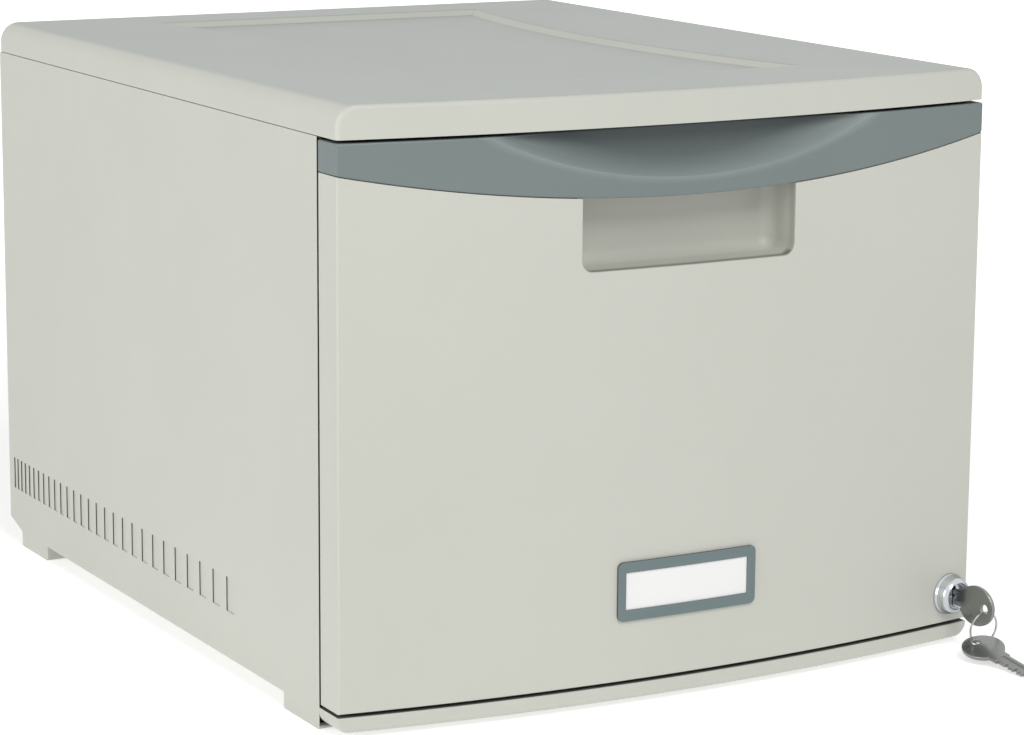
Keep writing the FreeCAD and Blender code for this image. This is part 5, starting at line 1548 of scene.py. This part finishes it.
# ------------------------------------------------------------------ the lock
@dataclass
class Lock:
    """The cam lock: turned bezel and barrel, plug, cam and clip.

    Attributes:
        kit: the frame and the finishes.
        bow: the bow that the lock stands square to.
        place: the axis's place across and up the front.
        barrel: how far the barrel reaches behind the front.
        shank: radius of the barrel.
        bore: radius of the plug's bore.
        mouth: radius of the recess before the plug.
        recess: height of the recess's floor before the front.
        height: height of the bezel's nose.
        nose: radius of the nose.
        flank: radius and height where the flank meets the nose.
        foot: radius and height where the flank meets the flange.
        flange: radius and height of the flange's upper edge.
        steps: facets round the axis.
    """

    kit: Kit
    bow: Bow
    place: tuple[float, float] = (174.5 * MM, 29 * MM)
    barrel: float = 24 * MM
    shank: float = 8.2 * MM
    bore: float = 6.25 * MM
    mouth: float = 7.4 * MM
    recess: float = 4.4 * MM
    height: float = 8 * MM
    nose: float = 8.1 * MM
    flank: tuple[float, float] = (9.3 * MM, 7 * MM)
    foot: tuple[float, float] = (10.7 * MM, 1.9 * MM)
    flange: tuple[float, float] = (11.25 * MM, 1.1 * MM)
    steps: int = 96

    def turned(self, name: str, section: np.ndarray) -> bpy.types.Object:
        """Turn a closed outline about the lock's axis.

        Args:
            name: name of the object.
            section: points of (radius, height before the face).

        Returns:
            The new object.
        """
        across, up = self.place
        lean = math.asin(across / self.bow.radius)
        axis = np.array([math.sin(lean), -math.cos(lean), 0])
        level = np.array([math.cos(lean), math.sin(lean), 0])
        foot = np.array([across, float(self.bow.face(across)), up])
        turn = np.linspace(0, 2 * math.pi, self.steps, endpoint=False)[None, :, None]
        spoke = level * np.cos(turn) + np.array([0, 0, 1]) * np.sin(turn)
        grid = foot + section[:, None, :1] * spoke + section[:, None, 1:] * axis
        return surface(name, grid, ring_rows=True, ring_columns=True)

    def build(self) -> None:
        """Build the housing and refine what turns or clips in it."""
        section = fillet_profile([
            (self.flange[0], 0, 0), (*self.flange, 0.6 * MM), (*self.foot, 0.5 * MM),
            (*self.flank, 1.6 * MM), (self.nose, self.height, 0.7 * MM),
            (self.mouth, self.height, 0.3 * MM), (self.mouth, self.recess, 0),
            (self.bore, self.recess, 0), (self.bore, -self.barrel, 0),
            (self.shank, -self.barrel, 0.4 * MM), (self.shank, 0, 0),
        ], steps=6)
        housing = self.turned("bezel", section)
        housing.data.set_sharp_from_angle(angle=math.radians(50))
        round_edges(housing, 0)
        self.kit.dress(housing, Slot.LOCK, "drawer", "lock_housing")
        for name, cad, slot, body, edge in (
            ("clip", "lock_clip", Slot.LOCK_WORKS, "drawer", 0.1 * MM),
            ("plug", "lock_plug", Slot.LOCK, "lock_plug", 0.25 * MM),
            ("cam", "lock_cam", Slot.LOCK_WORKS, "lock_plug", 0.2 * MM),
            ("cam_fixing", "cam_screw", Slot.SCREW, "lock_plug", 0.1 * MM),
        ):
            self.kit.refine(name, cad, slot, body, edge)


@dataclass
class Keys:
    """The key in the lock, the spare key and the ring that holds them.

    Attributes:
        kit: the frame and the finishes.
        edge: rounding of the keys' edges.
        ring_edge: rounding of the ring's edges.
    """

    kit: Kit
    edge: float = 0.25 * MM
    ring_edge: float = 0.1 * MM

    def build(self) -> None:
        """Refine the keys and the ring."""
        self.kit.refine("first_key", "key", Slot.KEY, "key", self.edge)
        self.kit.refine("second_key", "spare_key", Slot.KEY, "spare_key", self.edge)
        self.kit.refine("split_ring", "key_ring", Slot.RING, "key_ring", self.ring_edge)


# --------------------------------------------------------------- the runners
@dataclass
class Runners:
    """The drawer's tub, the slides with their rollers, and the screws and axles.

    Attributes:
        kit: the frame and the finishes.
        tub_edge: rounding of the tub's edges.
        rail_edge: rounding of the slides' edges.
        wheel_edge: rounding of the rollers' edges.
        pin_edge: rounding of the screws' and axles' edges.
    """

    kit: Kit
    tub_edge: float = 0.5 * MM
    rail_edge: float = 0.2 * MM
    wheel_edge: float = 0.4 * MM
    pin_edge: float = 0.1 * MM

    def build(self) -> None:
        """Refine the tub, both sides' slides and rollers, and the small hardware."""
        refine = self.kit.refine
        refine("tub", "drawer_tub", Slot.TUB, "drawer", self.tub_edge)
        for side in ("left", "right"):
            for part, body in (("case", "cabinet"), ("drawer", "drawer")):
                refine(f"{side}_{part}_rail", f"{side}_{part}_slide", Slot.SLIDE, body,
                       self.rail_edge)
            for place in ("front", "rear"):
                roller = f"{side}_{place}_roller"
                refine(f"{side}_{place}_wheel", roller, Slot.ROLLER, roller, self.wheel_edge)
        for name, cad, body in (
            ("case_fixings", "case_screws", "cabinet"),
            ("case_rail_fixings", "case_slide_screws", "cabinet"),
            ("front_axles", "front_roller_axles", "cabinet"),
            ("drawer_rail_fixings", "drawer_slide_screws", "drawer"),
            ("rear_axles", "rear_roller_axles", "drawer"),
            ("front_fixings", "front_screws", "drawer"),
        ):
            refine(name, cad, Slot.SCREW, body, self.pin_edge)


# ---------------------------------------------------------------- the studio
@dataclass(frozen=True)
class Lamp:
    """A square soft lamp.

    Attributes:
        name: its name.
        place: where it stands.
        aim: the point that it faces.
        size: its side.
        watts: its power.
        colour: its colour, as linear light.
    """

    name: str
    place: Point
    aim: Point
    size: float
    watts: float
    colour: Colour = (1, 1, 0.985)

    def build(self) -> None:
        """Put the lamp into the scene."""
        data = bpy.data.lights.new(self.name, "AREA")
        data.shape = "SQUARE"
        data.size = self.size
        data.energy = self.watts
        data.color = self.colour
        item = linked(self.name, data)
        item.location = self.place
        direction = Vector(self.aim) - Vector(self.place)
        item.rotation_euler = direction.to_track_quat("-Z", "Y").to_euler()


@dataclass
class Studio:
    """The camera, the lamps, the floor and the world.

    Attributes:
        place: the camera's station.
        azimuth: how far the camera is turned from the depth axis, in degrees.
        elevation: how far it looks up, in degrees.
        roll: how far it is rolled, in degrees.
        focal_px: its focal length in pixels of the image.
        sensor: width of its sensor in millimetres.
        lamps: a large lamp high in front and one low from the left.
        fill: strength of the world where only diffuse light meets it.
        floor_reach: half of the floor's side.
        floor_near: glow of the floor near the object, as the camera sees it.
        floor_fade: distances between which that glow rises to plain white.
        floor_fill: glow of the floor as the object meets it.
    """

    place: Point = (-0.8600, -1.5895, 0.4954)
    azimuth: float = 29.151
    elevation: float = -11.433
    roll: float = 0.394
    focal_px: float = 3281.55
    sensor: float = 36.0
    lamps: tuple[Lamp, ...] = (
        Lamp("front_lamp", (-0.15, -2.3, 2.2), (0, 0, 0.15), 1.4, 35.5),
        Lamp("left_lamp", (-2.6, -0.25, 0.75), (0, 0, 0.1), 1.8, 25),
    )
    fill: float = 0.38
    floor_reach: float = 15.0
    floor_near: float = 0.52
    floor_fade: tuple[float, float] = (0.7, 1.6)
    floor_fill: float = 0.32

    def camera(self) -> None:
        """Place the camera at its station, turned by azimuth, elevation and roll."""
        turn, tilt, roll = (math.radians(v) for v in (self.azimuth, self.elevation, self.roll))
        ahead = Vector((math.sin(turn) * math.cos(tilt), math.cos(turn) * math.cos(tilt),
                        math.sin(tilt)))
        right = Vector((math.cos(turn), -math.sin(turn), 0))
        up = right.cross(ahead)
        right, up = (right * math.cos(roll) + up * math.sin(roll),
                     up * math.cos(roll) - right * math.sin(roll))
        data = bpy.data.cameras.new("camera")
        data.sensor_fit = "HORIZONTAL"
        data.sensor_width = self.sensor
        data.lens = self.focal_px / IMAGE_WIDTH * self.sensor
        data.clip_end = 100
        item = linked("camera", data)
        basis = Matrix((right, up, -ahead)).transposed().to_4x4()
        item.matrix_world = Matrix.Translation(self.place) @ basis
        bpy.context.scene.camera = item

    def world(self) -> None:
        """A white surround for the camera and for reflections, and an even dim fill."""
        world = bpy.data.worlds.new("studio")
        world.use_nodes = True
        tree = world.node_tree
        background = tree.nodes["Background"]
        path = node(tree, "LightPath")
        clear = maths(tree, "MAXIMUM", path.outputs["Is Camera Ray"],
                      path.outputs["Is Transmission Ray"])
        seen = maths(tree, "MAXIMUM", clear, path.outputs["Is Glossy Ray"])
        background.inputs["Color"].default_value = (1, 1, 1, 1)
        strength = ramp(tree, seen, start=0.0, end=1.0, low=self.fill)
        tree.links.new(strength, background.inputs["Strength"])
        bpy.context.scene.world = world

    def floor(self) -> None:
        """A pale floor that reads as white and keeps the soft shadow."""
        corners = np.array([[-1, -1, 0], [1, -1, 0], [1, 1, 0], [-1, 1, 0]])
        item = mesh_object("floor", self.floor_reach * corners, [[0, 1, 2, 3]])
        material, tree, shader = principled("floor_paper")
        shader.inputs["Base Color"].default_value = (0.85, 0.85, 0.85, 1)
        shader.inputs["Roughness"].default_value = 0.9
        shader.inputs["Specular IOR Level"].default_value = 0.0
        path = node(tree, "LightPath")
        glow = node(tree, "Emission", Color=(1, 1, 1, 1))
        far = node(tree, "VectorMath", {"operation": "LENGTH"}, i0=on_object(tree))
        white = ramp(tree, far.outputs["Value"], *self.floor_fade, low=self.floor_near)
        shine = node(tree, "Mix", {"data_type": "FLOAT"}, i0=path.outputs["Is Camera Ray"],
                     i2=self.floor_fill, i3=white)
        tree.links.new(shine.outputs[0], glow.inputs["Strength"])
        both = node(tree, "AddShader", i0=shader.outputs[0], i1=glow.outputs[0])
        tree.links.new(both.outputs[0], tree.nodes["Material Output"].inputs["Surface"])
        item.data.materials.append(material)

    def build(self) -> None:
        """Set up everything that isn't part of the object."""
        bpy.context.scene.view_settings.view_transform = "Standard"
        self.camera()
        for lamp in self.lamps:
            lamp.build()
        self.world()
        self.floor()


def main() -> None:
    """Build the pieces in order round the frame."""
    logging.basicConfig(level=logging.INFO)
    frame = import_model()
    kit = Kit(frame)
    bow = Bow(half=188.3 * MM, corner=-214.6 * MM, rise=16.2 * MM)
    Studio().build()
    Case(kit, bow).build()
    DrawerFront(kit, bow).build()
    Lock(kit, bow).build()
    Runners(kit).build()
    Keys(kit).build()


if __name__ == "__main__":
    main()
